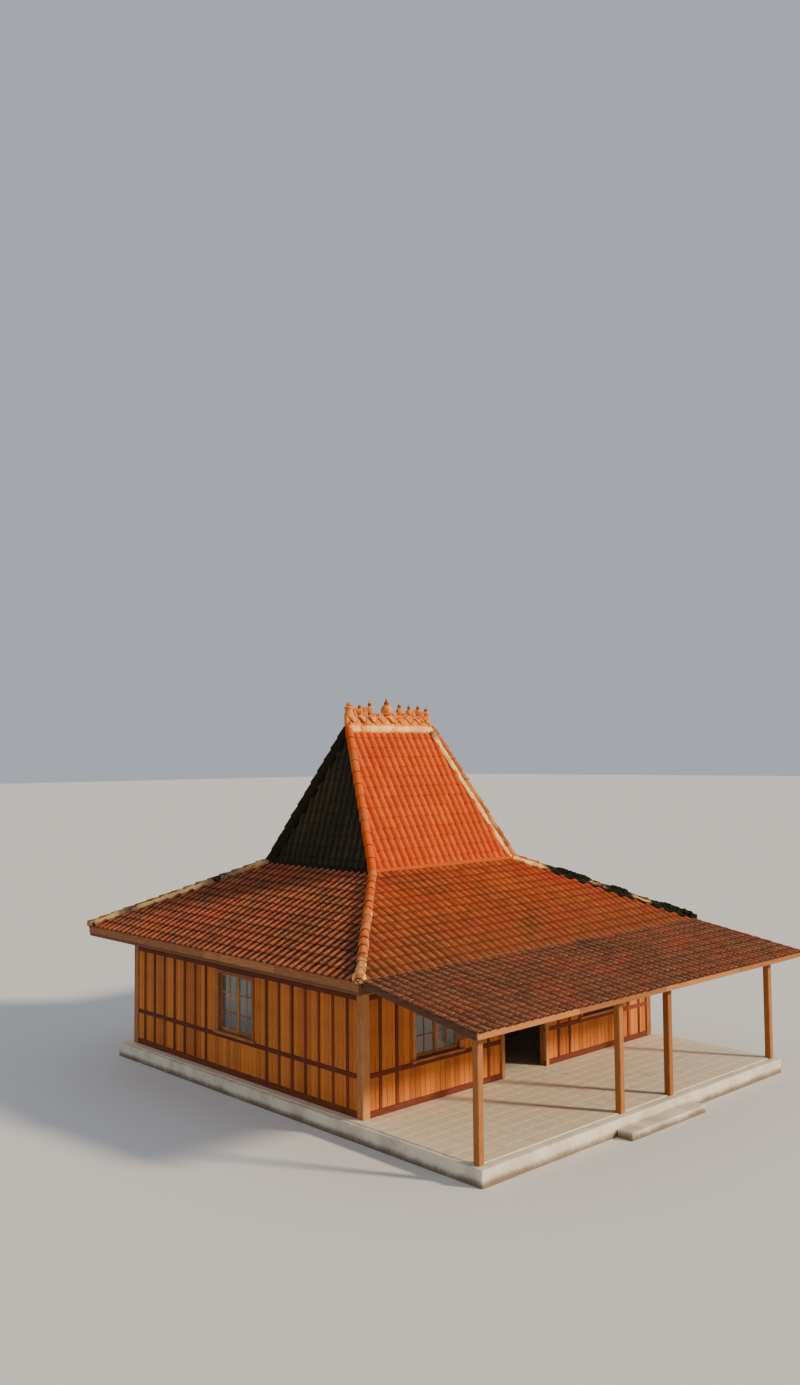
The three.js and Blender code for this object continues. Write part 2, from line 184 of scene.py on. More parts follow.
class Maker:
    """Adds nodes to one node tree."""

    def __init__(self, tree):
        self.tree = tree

    def node(self, kind, settings=None, values=None, output=0):
        """Adds a node, sets it up, fills its sockets and returns one of its outputs."""
        made = self.tree.nodes.new(kind)
        for name, setting in (settings or {}).items():
            setattr(made, name, setting)
        for key, value in (values or {}).items():
            if isinstance(value, Signal):
                self.tree.links.new(value.socket, made.inputs[key])
            else:
                made.inputs[key].default_value = value
        return Signal(self, made.outputs[output])


print("node maker ready")

# %% [markdown]
# ## What all finishes share
#
# Real surfaces vary at several sizes at once: a broad stain, a mottle of a hand's width,
# a grain of a millimetre. All three are noise textures with different scales, read at
# the piece's own coordinates so that they stay with it. A finish collects them, mixes
# colours by them, and ends in one Principled shader.

# %% Finish
class Finish(Maker):
    """A material under construction. gloss is the strength of its highlights."""

    def __init__(self, name, roughness=0.8, gloss=0.5):
        self.material = bpy.data.materials.new(name)
        self.material.use_nodes = True
        super().__init__(self.material.node_tree)
        self.shader = self.tree.nodes["Principled BSDF"]
        self.shader.inputs["Roughness"].default_value = roughness
        self.shader.inputs["Specular IOR Level"].default_value = gloss
        self.place = self.node("ShaderNodeTexCoord", output="Object")

    def attribute(self, name):
        """A number that the piece's mesh carries."""
        return self.node("ShaderNodeAttribute", {"attribute_name": name}, output="Fac")

    def axis(self, letter):
        """The X, Y or Z coordinate of the place."""
        return self.node("ShaderNodeSeparateXYZ", None, {0: self.place}, letter)

    def uv(self):
        return self.node("ShaderNodeTexCoord", output="UV")

    def stretched(self, scale, at):
        """Coordinates that are stretched, so that a pattern on them runs along a grain."""
        return self.node("ShaderNodeMapping", None, {"Vector": at, "Scale": scale}, "Vector")

    def noise(self, scale, detail=4.0, roughness=0.55, at=None):
        values = {
            "Vector": at or self.place,
            "Scale": scale,
            "Detail": detail,
            "Roughness": roughness,
        }
        return self.node("ShaderNodeTexNoise", None, values, "Fac")

    def mix(self, factor, first, second):
        """Mixes two colours."""
        settings = {"data_type": "RGBA", "blend_type": "MIX", "clamp_factor": True}
        sides = [c if isinstance(c, Signal) else (*c, 1.0) for c in (first, second)]
        return self.node("ShaderNodeMix", settings, {0: factor, 6: sides[0], 7: sides[1]}, 2)

    def finish(self, colour, roughness=None, height=None, depth=0.001):
        """Feeds the shader and returns the material."""
        self.tree.links.new(colour.socket, self.shader.inputs["Base Color"])
        if roughness is not None:
            self.tree.links.new(roughness.socket, self.shader.inputs["Roughness"])
        if height is not None:
            values = {"Height": height, "Distance": depth, "Strength": 1.0}
            bump = self.node("ShaderNodeBump", None, values)
            self.tree.links.new(bump.socket, self.shader.inputs["Normal"])
        return self.material


print("finish maker ready")

# %% [markdown]
# ## Clay tiles
#
# Country roof tiles are fired in small kilns, so each comes out a little redder or paler. Rain then
# leaves soil in their pans and under each lap, and moss spreads where a slope stays damp. The pans
# and the laps are also painted darker as shade, where the rolls and the tile above would shade
# them. The tile meshes carry three numbers for this: `tone`, one for each tile, a number for soil
# and painted shade, which is 1 in the pans and 0 on the rolls, and `lap`, which is 1 at the head of
# a tile, under the next one. Broad moss and fine grain come from noise, and the pale speckles on
# the rolls are lichen with painted highlight. Slopes get the same finish with other colours and
# shares: some differ in weathering, while the steep front is painted brighter, as sunlit, and the
# steep left darker, as shaded.

# %% Clay finishes
MOSS = (0.020, 0.022, 0.012)
# Soil, and painted shade, that darken the pans and the laps
SOIL_AND_SHADE = (0.070, 0.022, 0.012)
DUST = (0.16, 0.080, 0.026)
DUST_TOP = 4.1  # height up to which dust has gathered above the eaves
# Pale lichen, and painted highlight, on the rolls
LICHEN_AND_HIGHLIGHT = (0.42, 0.33, 0.22)
RED_BATCH = (0.56, 0.045, 0.012)
CLAY_GLOSS = 0.15


def clay_finish(name, bright, deep, pans, laps, moss, bloom_and_highlight, redder, dust=0.0):
    """Clay tiles. The shares, from 0 to 1, say how much the pans and the laps are darkened, by
    grime and by painted shade, how far moss has spread, how much pale speckle the rolls have, as
    lichen and painted highlight, how much the tiles of a redder batch differ, and how much dust has
    gathered near the eaves."""
    clay = Finish(name, 0.8, CLAY_GLOSS)
    tone = clay.attribute("tone")
    grime_and_shade = clay.attribute("grime_and_shade")
    lap = clay.attribute("lap")
    stain = clay.noise(0.45, 5.0, 0.6)
    mottle = clay.noise(7.0, 5.0, 0.65)
    grain = clay.noise(90.0, 3.0)
    kiln = tone * 0.35 + mottle * 0.9 - 0.12
    colour = clay.mix(kiln.between(0.1, 0.9), deep, bright)
    batch = (clay.noise(1.1, 4.0, 0.6) + tone * 0.12).between(0.55, 0.70)
    colour = clay.mix(batch * redder, colour, RED_BATCH)
    dusty = (1 - (clay.axis("Z") + stain * 0.6 - 0.3).between(EAVE_Z, DUST_TOP)) * dust
    colour = clay.mix(dusty, colour, DUST)
    # Pale speckles on the rolls: lichen, and painted highlight on the roll tops
    speckle = clay.noise(38.0, 4.0, 0.7).between(0.66 - 0.3 * bloom_and_highlight, 0.80 - 0.3 * bloom_and_highlight)
    colour = clay.mix(speckle * (1 - grime_and_shade) * 0.6, colour, LICHEN_AND_HIGHLIGHT)
    # The pans and the heads under the laps: soil, and painted shade where the rolls and the tile
    # above shade them
    dirt_and_shade = (grime_and_shade.between(0.15, 0.95) * pans).larger(lap.between(0.45, 0.9) * laps)
    colour = clay.mix(dirt_and_shade * (mottle * 0.5 + 0.7), colour, SOIL_AND_SHADE)
    damp = stain * 0.7 + mottle * 0.3 + grime_and_shade * 0.12
    mossy = damp.between(0.66 - 0.3 * moss, 0.78 - 0.25 * moss)
    colour = clay.mix(mossy * (0.35 + 0.6 * moss), colour, MOSS)
    rough = 0.95 - tone * 0.1 - grain * 0.1
    return clay.finish(colour, rough, grain * 0.6 + mottle * 0.4, 0.0015)


# The steep front is painted brighter than the other faces, as sunlit.
sunlit_clay = clay_finish(
    "clay_steep", (0.92, 0.135, 0.0), (0.66, 0.058, 0.0),
    pans=0.75, laps=0.10, moss=0.02, bloom_and_highlight=0.05, redder=0.4,
)
skirt_clay = clay_finish(
    "clay_skirt", (0.66, 0.128, 0.012), (0.34, 0.045, 0.007),
    pans=0.80, laps=0.75, moss=0.20, bloom_and_highlight=0.40, redder=0.7, dust=0.45,
)
side_clay = clay_finish(
    "clay_side", (0.53, 0.098, 0.012), (0.16, 0.019, 0.005),
    pans=0.85, laps=0.70, moss=0.32, bloom_and_highlight=0.68, redder=0.5,
)
# The steep left face is nearly black: moss, and painted shade.
shaded_mossy_clay = clay_finish(
    "clay_dark", (0.090, 0.055, 0.026), (0.036, 0.034, 0.018),
    pans=0.85, laps=0.60, moss=0.85, bloom_and_highlight=0.15, redder=0.0,
)
# The veranda's tiles are painted darker and browner than the lower roof's: more moss, and painted
# shade of trees.
veranda_clay = clay_finish(
    "clay_veranda", (0.33, 0.094, 0.030), (0.15, 0.038, 0.016),
    pans=0.85, laps=0.75, moss=0.38, bloom_and_highlight=0.6, redder=0.3,
)
print("clay finishes: 5")

# %% [markdown]
# ## Mortar and terracotta
#
# The hips and the ridge are closed with lime mortar, pushed in by hand and left rough.
# It dries cream, takes a pink stain from the clay, and goes nearly black where algae grow; the same
# black is painted on the hip flanks beside the dark left face, and along the feet of the front
# right lower hip, as shade. The meshes carry that as `stain`: -1 is red with clay, 0 is bare lime
# and 1 is black. The finials are of a paler clay than the tiles, with soot in patches and painted
# shade in their narrow waists, which their meshes carry as a number for each point.

# %% Mortar and terracotta finishes
# The black of algae; on shaded hip flanks it is painted shade.
ALGAE_AND_SHADE = (0.007, 0.009, 0.005)
LIME_GLOSS = 0.10
FINIAL_GLOSS = 0.2


def mortar_finish():
    """Lime mortar: cream and ochre, then grime, then the red and black of its stains; the black is
    algae, and painted shade on shaded flanks.
    """
    lime = Finish("lime_mortar", 0.9, LIME_GLOSS)
    lumps = lime.noise(14.0, 6.0, 0.65)
    patches = lime.noise(3.2, 4.0, 0.6)
    grit = lime.noise(150.0, 3.0)
    stain = lime.attribute("stain")
    colour = lime.mix(patches.between(0.42, 0.62), (1.0, 0.74, 0.26), (0.93, 0.46, 0.15))
    colour = lime.mix(lumps.between(0.54, 0.68) * 0.5, colour, (0.42, 0.20, 0.09))
    colour = lime.mix(stain.between(0.05, 0.40) * 0.8, colour, (0.24, 0.13, 0.095))
    uneven = (lumps + patches - 1.0) * 0.9
    red = (uneven - stain).between(0.25, 0.6)
    colour = lime.mix(red * 0.95, colour, (0.48, 0.062, 0.005))
    black = (uneven + stain).between(0.25, 0.6)
    colour = lime.mix(black * 0.97, colour, ALGAE_AND_SHADE)
    return lime.finish(colour, None, lumps * 0.8 + grit * 0.2, 0.012)


def finial_finish():
    """The paler clay of the finials, with sooty patches, and painted shade in its narrow waists."""
    clay = Finish("terracotta", 0.8, FINIAL_GLOSS)
    mottle = clay.noise(5.0, 5.0, 0.65)
    colour = clay.mix(mottle.between(0.42, 0.66), (0.75, 0.21, 0.035), (0.88, 0.38, 0.085))
    darkness = clay.noise(11.0, 5.0, 0.7).between(0.50, 0.66).larger(clay.attribute("grime_and_shade"))
    colour = clay.mix(darkness * 0.85, colour, (0.17, 0.045, 0.014))
    return clay.finish(colour, None, clay.noise(70.0, 4.0), 0.002)


lime_mortar = mortar_finish()
terracotta = finial_finish()
print("mortar and terracotta finishes: 2")

# %% [markdown]
# ## Timber
#
# Beams, posts and boards are teak. Its grain is a noise that is stretched along the
# length of the timber. Pieces that are made here carry a UV map whose U runs along each
# stick, so one finish fits them whatever their direction. The frame's own timbers have
# no UV map, so theirs reads the coordinates of the object, stretched along one axis.

# %% Timber finishes
WOOD_GLOSS = 0.25
STICK_GRAIN = (1.0, 14.0, 14.0)  # the grain runs along X, or along U on a UV map
RUN_GRAIN = (14.0, 1.0, 14.0)
UPRIGHT_GRAIN = (14.0, 14.0, 1.0)
LEVEL_GRAIN = (4.0, 4.0, 14.0)  # for a ring of beams that run along X and Y
WEATHERED = (0.17, 0.125, 0.085)
FRAME_BRIGHT = (0.38, 0.15, 0.050)
FRAME_DEEP = (0.15, 0.052, 0.020)


def timber_finish(name, bright, deep, wear, object_grain=None):
    """Teak. Its grain follows the UV map, or the object's own coordinates where
    object_grain says how to stretch them. wear is the share of weathered wood."""
    wood = Finish(name, 0.62, WOOD_GLOSS)
    at = wood.place if object_grain else wood.uv()
    along = wood.stretched(object_grain or STICK_GRAIN, at)
    figure = wood.noise(3.0, 6.0, 0.6, along)
    pores = wood.noise(22.0, 3.0, 0.6, along)
    weather = wood.noise(1.7, 5.0, 0.65)
    blend = (figure * 0.9 + wood.attribute("tone") * 0.35 - 0.12).between(0.2, 0.8)
    colour = wood.mix(blend, deep, bright)
    colour = wood.mix(pores.between(0.52, 0.72) * 0.4, colour, tuple(0.35 * c for c in deep))
    colour = wood.mix(weather.between(0.50, 0.75) * wear, colour, WEATHERED)
    return wood.finish(colour, 0.5 + weather * 0.3, figure * 0.5 + pores * 0.5, 0.0012)


joinery_teak = timber_finish("teak_joinery", (0.60, 0.26, 0.085), (0.26, 0.085, 0.030), 0.35)
panel_teak = timber_finish("teak_panels", (0.74, 0.235, 0.034), (0.42, 0.105, 0.013), 0.15)
red_teak = timber_finish("teak_stiles", (0.25, 0.048, 0.012), (0.11, 0.020, 0.007), 0.12)
fascia_teak = timber_finish("teak_fascia", (0.50, 0.20, 0.052), (0.28, 0.095, 0.022), 0.40)
ring_teak = timber_finish("teak_frame", FRAME_BRIGHT, FRAME_DEEP, 0.3, LEVEL_GRAIN)
beam_teak = timber_finish("teak_beam", FRAME_BRIGHT, FRAME_DEEP, 0.3, STICK_GRAIN)
rafter_teak = timber_finish("teak_rafters", FRAME_BRIGHT, FRAME_DEEP, 0.3, RUN_GRAIN)
# The verge boards are painted darker than the other teak, as shade.
verge_teak = timber_finish(
    "teak_verge", (0.21, 0.088, 0.036), (0.085, 0.034, 0.016), 0.3, RUN_GRAIN
)
print("timber finishes: 8")

# %% [markdown]
# ## Boarded walls, seen from inside
#
# Inside, the wall solids themselves show. Their boards are thin grooves every hand's
# width, so the groove is a repeating ramp: the fraction of x + y divided by the board
# width. On a wall along X only x changes, and on one along Y only y does.

INNER_BOARD = 0.14


def inner_board_finish():
    """Dark upright boards with a groove between each and the next."""
    wood = Finish("inner_boards", 0.65)
    step = ((wood.axis("X") + wood.axis("Y")) * (1 / INNER_BOARD)).fraction()
    groove = 1 - step.between(0.0, 0.05) * (1 - step.between(0.95, 1.0))
    grain = wood.noise(3.0, 6.0, 0.6, wood.stretched(UPRIGHT_GRAIN, wood.place))
    colour = wood.mix(grain.between(0.3, 0.7), (0.24, 0.085, 0.032), (0.44, 0.18, 0.06))
    colour = wood.mix(groove * 0.85, colour, (0.03, 0.012, 0.008))
    return wood.finish(colour, None, grain * 0.2 - groove, 0.003)


inner_boards = inner_board_finish()
print("inner board finish ready")

# %% [markdown]
# ## The roof, seen from below
#
# From below, a tiled roof is a ladder of battens with the undersides of the tiles
# between them. The solids under the tiles show there as plain slabs, so a ramp that
# repeats with every course draws the battens. It is read along the height on the
# steeper roofs, and along Y on the veranda's, which is nearly level.

# %% Undersides of the roofs
STEEP_BATTENS = 0.223  # one course of tiles on the steep roof, measured upright
SKIRT_BATTENS = 0.112  # the same on the lower roof
VERANDA_BATTENS = 0.255  # one course on the veranda roof, measured level


def underside_finish(name, axis, pitch):
    """Battens at a pitch along an axis, with the undersides of tiles between them."""
    under = Finish(name, 0.9)
    step = (under.axis(axis) * (1 / pitch)).fraction()
    batten = step.between(0.0, 0.03) * (1 - step.between(0.13, 0.16))
    mottle = under.noise(6.0, 5.0, 0.6)
    colour = under.mix(mottle.between(0.3, 0.7), (0.20, 0.062, 0.028), (0.34, 0.12, 0.055))
    colour = under.mix(batten * 0.9, colour, (0.12, 0.06, 0.03))
    return under.finish(colour, None, batten + mottle * 0.2, 0.01)


steep_underside = underside_finish("underside_steep", "Z", STEEP_BATTENS)
skirt_underside = underside_finish("underside_skirt", "Z", SKIRT_BATTENS)
veranda_underside = underside_finish("underside_veranda", "Y", VERANDA_BATTENS)
print("underside finishes: 3")

# %% [markdown]
# ## Masonry and glass
#
# The raised floor is rubble masonry with a lime render. It is pale, patched, and dirty
# low down where rain splashes soil against it, so one mask follows the height. The
# floor itself is of square cement tiles. Window glass is a thin clear sheet: a smooth,
# mostly transmitting surface with a faint green tint.

SPLASH_TOP = 0.22


def plaster_finish():
    """Lime render: patched, cracked in places, and splashed with earth near the ground."""
    lime = Finish("lime_render", 0.9)
    patch = lime.noise(1.6, 6.0, 0.65)
    fine = lime.noise(22.0, 5.0, 0.65)
    colour = lime.mix(patch.between(0.38, 0.62), (0.80, 0.72, 0.56), (0.60, 0.52, 0.40))
    splash = (1 - lime.axis("Z").between(0.0, SPLASH_TOP)) * (patch * 0.8 + fine * 0.6)
    colour = lime.mix(splash.between(0.1, 0.7), colour, (0.20, 0.14, 0.09))
    colour = lime.mix(fine.between(0.66, 0.72) * 0.5, colour, (0.16, 0.14, 0.09))
    return lime.finish(colour, None, patch * 0.5 + fine * 0.5, 0.006)


def paving_finish():
    """Cement tiles, each of its own tone, with worn and dirty patches."""
    cement = Finish("floor_tiles", 0.45)
    patch = cement.noise(2.2, 5.0, 0.6)
    blend = (cement.attribute("tone") * 0.6 + patch * 0.6).between(0.3, 0.9)
    colour = cement.mix(blend, (0.62, 0.50, 0.34), (0.82, 0.70, 0.50))
    colour = cement.mix(patch.between(0.55, 0.75) * 0.5, colour, (0.36, 0.27, 0.17))
    return cement.finish(colour, 0.35 + patch * 0.4, cement.noise(45.0, 4.0), 0.0008)


def glass_finish():
    """Old window glass, a little wavy."""
    pane = Finish("window_glass", 0.04)
    pane.shader.inputs["Transmission Weight"].default_value = 0.9
    pane.shader.inputs["IOR"].default_value = 1.45
    wave = pane.noise(2.5, 2.0)
    colour = pane.mix(wave, (0.78, 0.86, 0.84), (0.86, 0.92, 0.90))
    return pane.finish(colour, None, wave, 0.004)


lime_render = plaster_finish()
floor_tiles = paving_finish()
window_glass = glass_finish()
print("masonry, floor tile and glass finishes: 3")

# %% [markdown]
# ## From points to a finished piece
#
# All pieces are made the same way: a mesh in the house's own coordinates, a smooth or
# creased surface, a finish, and a place in the frame. Edges sharper than a limit angle
# stay crisp, and the rest is shaded smooth. A mesh can be opened for editing, and it
# can carry a number for each of its points, which a finish reads as an attribute.

# %% Piece helpers
CREASE = math.radians(38)


def new_mesh(name, points, faces):
    mesh = bpy.data.meshes.new(name)
    mesh.from_pydata([tuple(p) for p in points], [], faces)
    mesh.update()
    return mesh


@contextmanager
def edited(mesh):
    """Opens a mesh for editing, and writes it back afterwards."""
    work = bmesh.new()
    work.from_mesh(mesh)
    yield work
    work.to_mesh(mesh)
    work.free()


def mark(mesh, name, values):
    """Gives each point of a mesh a number under this name."""
    mesh.attributes.new(name, "FLOAT", "POINT").data.foreach_set("value", values)


def joined(name, meshes):
    """One mesh from several. It keeps their UV maps and attributes."""
    holders = []
    for mesh in meshes:
        holder = bpy.data.objects.new(name, mesh)
        bpy.context.scene.collection.objects.link(holder)
        holders.append(holder)
    with bpy.context.temp_override(
        active_object=holders[0], object=holders[0], selected_editable_objects=holders
    ):
        bpy.ops.object.join()
    whole = holders[0].data
    bpy.data.objects.remove(holders[0])
    return whole


def put(name, mesh, finish, slot, replaces=()):
    """Makes a mesh a piece of the house."""
    mesh.name = name
    mesh.materials.clear()
    mesh.materials.append(finish)
    mesh.shade_smooth()
    mesh.set_sharp_from_angle(angle=CREASE)
    piece = bpy.data.objects.new(name, mesh)
    bpy.context.scene.collection.objects.link(piece)
    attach(piece, "root")
    if replaces:
        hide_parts(*replaces)


def triangles(mesh):
    return sum(len(face.vertices) - 2 for face in mesh.polygons)


print("piece helpers ready")

# %% [markdown]
# ## Rows that repeat: one geometry node tree
#
# Tiles, boards and paving are all the same idea: one shape on a grid, each copy a
# little out of line. A geometry node tree does this well. It makes a grid of points,
# shifts and turns each a little, puts an instance on each, and stores a random `tone`
# for the finish to read. Realizing the instances turns them into one mesh.

# %% The tree that lays rows
def new_tree(name, inputs):
    """An empty geometry node tree with named inputs, and signals for those inputs."""
    tree = bpy.data.node_groups.new(name, "GeometryNodeTree")
    for label, kind in inputs:
        tree.interface.new_socket(label, in_out="INPUT", socket_type=kind)
    tree.interface.new_socket("Geometry", in_out="OUTPUT", socket_type="NodeSocketGeometry")
    maker = Maker(tree)
    source = tree.nodes.new("NodeGroupInput")
    signals = {label: Signal(maker, source.outputs[label]) for label, kind in inputs}
    return maker, signals


def close_tree(maker, instances, finish):
    """Realizes the instances, gives them their finish and closes the tree."""
    real = maker.node("GeometryNodeRealizeInstances", None, {"Geometry": instances})
    dressed = maker.node("GeometryNodeSetMaterial", None, {"Geometry": real, "Material": finish})
    sink = maker.tree.nodes.new("NodeGroupOutput")
    maker.tree.links.new(dressed.socket, sink.inputs["Geometry"])
    return maker.tree


def tagged(maker, instances, seed):
    """Stores a random tone on each instance."""
    tone = maker.node(
        "FunctionNodeRandomValue", {"data_type": "FLOAT"}, {2: 0.0, 3: 1.0, "Seed": seed + 5}, 1
    )
    settings = {"data_type": "FLOAT", "domain": "INSTANCE"}
    values = {"Geometry": instances, "Name": "tone", "Value": tone}
    return maker.node("GeometryNodeStoreNamedAttribute", settings, values)


def shaken(maker, reach, size, seed):
    """A random vector whose parts lie within plus and minus reach, times size."""
    values = {0: tuple(-part for part in reach), 1: reach, "Seed": seed}
    vector = maker.node("FunctionNodeRandomValue", {"data_type": "FLOAT_VECTOR"}, values)
    values = {0: vector, "Scale": size}
    return maker.node("ShaderNodeVectorMath", {"operation": "SCALE"}, values)


def picked(maker, socket):
    """The mesh of the object that is chosen at an input."""
    return maker.node("GeometryNodeObjectInfo", None, {"Object": socket}, "Geometry")


rows, row_in = new_tree("lay_rows", [
    ("Columns", "NodeSocketInt"),
    ("Courses", "NodeSocketInt"),
    ("Column pitch", "NodeSocketFloat"),
    ("Course pitch", "NodeSocketFloat"),
    ("Slip", "NodeSocketFloat"),
    ("Turn", "NodeSocketFloat"),
    ("Seed", "NodeSocketInt"),
    ("Unit", "NodeSocketObject"),
    ("Finish", "NodeSocketMaterial"),
])
row_grid = rows.node("GeometryNodeMeshGrid", None, {
    "Size X": (row_in["Columns"] - 1) * row_in["Column pitch"],
    "Size Y": (row_in["Courses"] - 1) * row_in["Course pitch"],
    "Vertices X": row_in["Columns"],
    "Vertices Y": row_in["Courses"],
})
row_slip = shaken(rows, (1.0, 1.0, 0.5), row_in["Slip"], row_in["Seed"])
row_turn = shaken(rows, (1.0, 1.0, 1.0), row_in["Turn"], row_in["Seed"] + 1)
row_points = rows.node(
    "GeometryNodeSetPosition", None, {"Geometry": row_grid, "Offset": row_slip}
)
row_instances = rows.node("GeometryNodeInstanceOnPoints", None, {
    "Points": row_points,
    "Instance": picked(rows, row_in["Unit"]),
    "Rotation": rows.node("FunctionNodeEulerToRotation", None, {0: row_turn}),
})
LAY_ROWS = close_tree(rows, tagged(rows, row_instances, row_in["Seed"]), row_in["Finish"])
print("nodes that lay rows:", len(LAY_ROWS.nodes))

# %% [markdown]
# ## Running a tree
#
# A node tree only runs as a modifier. So a small host object gets the modifier and its
# inputs, Blender evaluates it, and the result is kept as a plain mesh. The host and the
# modifier are then thrown away.

# %% Growing a mesh from a tree
def unit_object(name, mesh):
    """A hidden object whose mesh a tree repeats."""
    unit = bpy.data.objects.new(name, mesh)
    bpy.context.scene.collection.objects.link(unit)
    return unit


def grown(tree, inputs):
    """The mesh that a tree makes with these inputs."""
    host = unit_object("host", bpy.data.meshes.new("host"))
    modifier = host.modifiers.new("grow", "NODES")
    modifier.node_group = tree
    for item in tree.interface.items_tree:
        if item.in_out == "INPUT" and item.name in inputs:
            modifier[item.identifier] = inputs[item.name]
    depsgraph = bpy.context.evaluated_depsgraph_get()
    made = bpy.data.meshes.new_from_object(host.evaluated_get(depsgraph))
    host.modifiers.remove(modifier)
    bpy.data.objects.remove(host)
    return made


def laid(unit, columns, courses, pitch, finish, slip=0.0, turn=0.0, seed=1):
    """Rows of a unit: pitch gives the distances between columns and between courses."""
    return grown(LAY_ROWS, {
        "Columns": columns,
        "Courses": courses,
        "Column pitch": pitch[0],
        "Course pitch": pitch[1],
        "Slip": slip,
        "Turn": turn,
        "Seed": seed,
        "Unit": unit,
        "Finish": finish,
    })


print("tree runner ready")

# %% [markdown]
# ## One clay pantile
#
# A pantile is a shallow S: a flat pan that carries the water, and a roll that laps over
# the next tile's edge. Its tail lies on the tile below, so it is tilted a little
# against the roof. A tile this small is repeated over three thousand times, so it has
# only a few dozen faces: nine points across, and five rows from its head over its tail
# and back underneath. The numbers across are shares of the column pitch, and the
# heights are in metres.

# %% Pantile
COLUMN = 0.204
COURSE = 0.258
TILE_LENGTH = 0.302
TILE_THICK = 0.013
TAIL_LIFT = 0.025
HEAD_LIFT = 0.004
TAIL_ROUND = 0.006
PANTILE = [
    (-0.50, 0.010), (-0.42, 0.002), (-0.26, 0.000), (-0.06, 0.002),
    (0.08, 0.014), (0.20, 0.034), (0.33, 0.042), (0.45, 0.033), (0.55, 0.012),
]
ROLL_TOP = 0.042
GRIME_AND_SHADE_FADE = 1.7  # the soil and painted shade of the pans fade out this many times lower than the top of the roll


def shell_faces(rows, wide):
    """Faces of a thin shell. Its rows of points run over it and back underneath."""
    faces = []
    for row in range(rows):
        low = row * wide
        high = (row + 1) % rows * wide
        for i in range(wide - 1):
            faces.append((low + i, high + i, high + i + 1, low + i + 1))
    faces.append(tuple(row * wide for row in reversed(range(rows))))
    faces.append(tuple(row * wide + wide - 1 for row in range(rows)))
    return faces


def pantile_mesh():
    rows = [
        (0.0, HEAD_LIFT),
        (-TILE_LENGTH + TAIL_ROUND, TAIL_LIFT),
        (-TILE_LENGTH, TAIL_LIFT - TAIL_ROUND),
        (-TILE_LENGTH + 0.002, TAIL_LIFT - TILE_THICK),
        (0.0, HEAD_LIFT - TILE_THICK),
    ]
    points = [
        (across * COLUMN, along, rise + lift) for along, lift in rows for across, rise in PANTILE
    ]
    mesh = new_mesh("pantile", points, shell_faces(len(rows), len(PANTILE)))
    grime_and_shade = [max(0.0, 1.0 - GRIME_AND_SHADE_FADE * (rise / ROLL_TOP)) for across, rise in PANTILE]
    mark(mesh, "grime_and_shade", grime_and_shade * len(rows))
    mark(mesh, "lap", [float(along == 0) for along, lift in rows for point in PANTILE])
    return mesh


pantile = unit_object("pantile", pantile_mesh())
print("one pantile:", triangles(pantile.data), "triangles")

# %% [markdown]
# ## Fields of tiles
#
# Each roof face gets a field of tiles. The field is laid flat, then turned and moved
# into the plane of its face, and cut along the hips by upright planes. The cut tiles
# are closed again. The cuts themselves lie under the hip mortar, as on a real roof,
# where the tiles at a hip are chipped to fit.

# %% Laying and cutting a field
OVERHANG = 0.055
TILE_SLIP = 0.004
TILE_TURN = 0.012
TOUCHING = 1e-5  # points nearer to each other than this are one


def slope_place(outward, foot_distance, foot_z, head_distance, head_z):
    """A matrix from a face's own plane to the house, and the face's length. The plane's
    X runs along the face, Y up it and Z out of it."""
    across = Vector((-outward.y, outward.x, 0))
    foot = outward * foot_distance + Vector((0, 0, foot_z))
    head = outward * head_distance + Vector((0, 0, head_z))
    up = (head - foot).normalized()
    turned = Matrix((across, up, across.cross(up))).transposed()
    return Matrix.Translation(foot) @ turned.to_4x4(), (head - foot).length


def cut_off(mesh, point, outward):
    """Cuts away what lies beyond a plane, and closes what was cut."""
    with edited(mesh) as work:
        everything = work.verts[:] + work.edges[:] + work.faces[:]
        made = bmesh.ops.bisect_plane(
            work, geom=everything, dist=TOUCHING, plane_co=point, plane_no=outward,
            clear_outer=True,
        )
        rim = [part for part in made["geom_cut"] if isinstance(part, bmesh.types.BMEdge)]
        bmesh.ops.holes_fill(work, edges=rim, sides=0)


def tile_field(place, length, half_width, finish, seed, cuts):
    """A field of tiles in a face's plane. cuts are points and outward directions."""
    columns = math.ceil(2 * half_width / COLUMN) + 1
    courses = math.ceil((length + OVERHANG) / COURSE) + 1
    pitch = (COLUMN, COURSE)
    field = laid(pantile, columns, courses, pitch, finish, TILE_SLIP, TILE_TURN, seed)
    lowest_head = TILE_LENGTH - OVERHANG
    field.transform(Matrix.Translation((0, lowest_head + (courses - 1) * COURSE / 2, 0)))
    field.transform(place)
    for point, outward in cuts:
        cut_off(field, point, outward)
    return field


print("tile layer ready")

# %% [markdown]
# ## Eight faces between hips
#
# Seen from above, a hip is a straight line from an inner corner to an outer one. A
# plane through it that faces away from the middle of a roof face cuts that face's
# tiles. A third plane stops them at the ridge, or at the foot of the steep roof.

# %% Tiles of the steep roof and the lower roof
STEEP_HEAD_GAP = 0.012
SKIRT_HEAD_GAP = 0.045  # the lower roof's tiles stop under the ring of mortar
STEEP_SEED = 11
SKIRT_SEED = 31
RIDGE_PLAN = (RIDGE_HALF, 0.0)
FOOT_PLAN = (FOOT_X, FOOT_Y)
EAVE_PLAN = (EAVE_X, EAVE_Y)
FAR = 100  # well outside the house
# The steep front's clay is painted as sunlit, and the steep left's as shaded.
STEEP_FINISH = {"front": sunlit_clay, "back": skirt_clay, "left": shaded_mossy_clay, "right": skirt_clay}
SKIRT_FINISH = {"front": skirt_clay, "back": side_clay, "left": side_clay, "right": side_clay}


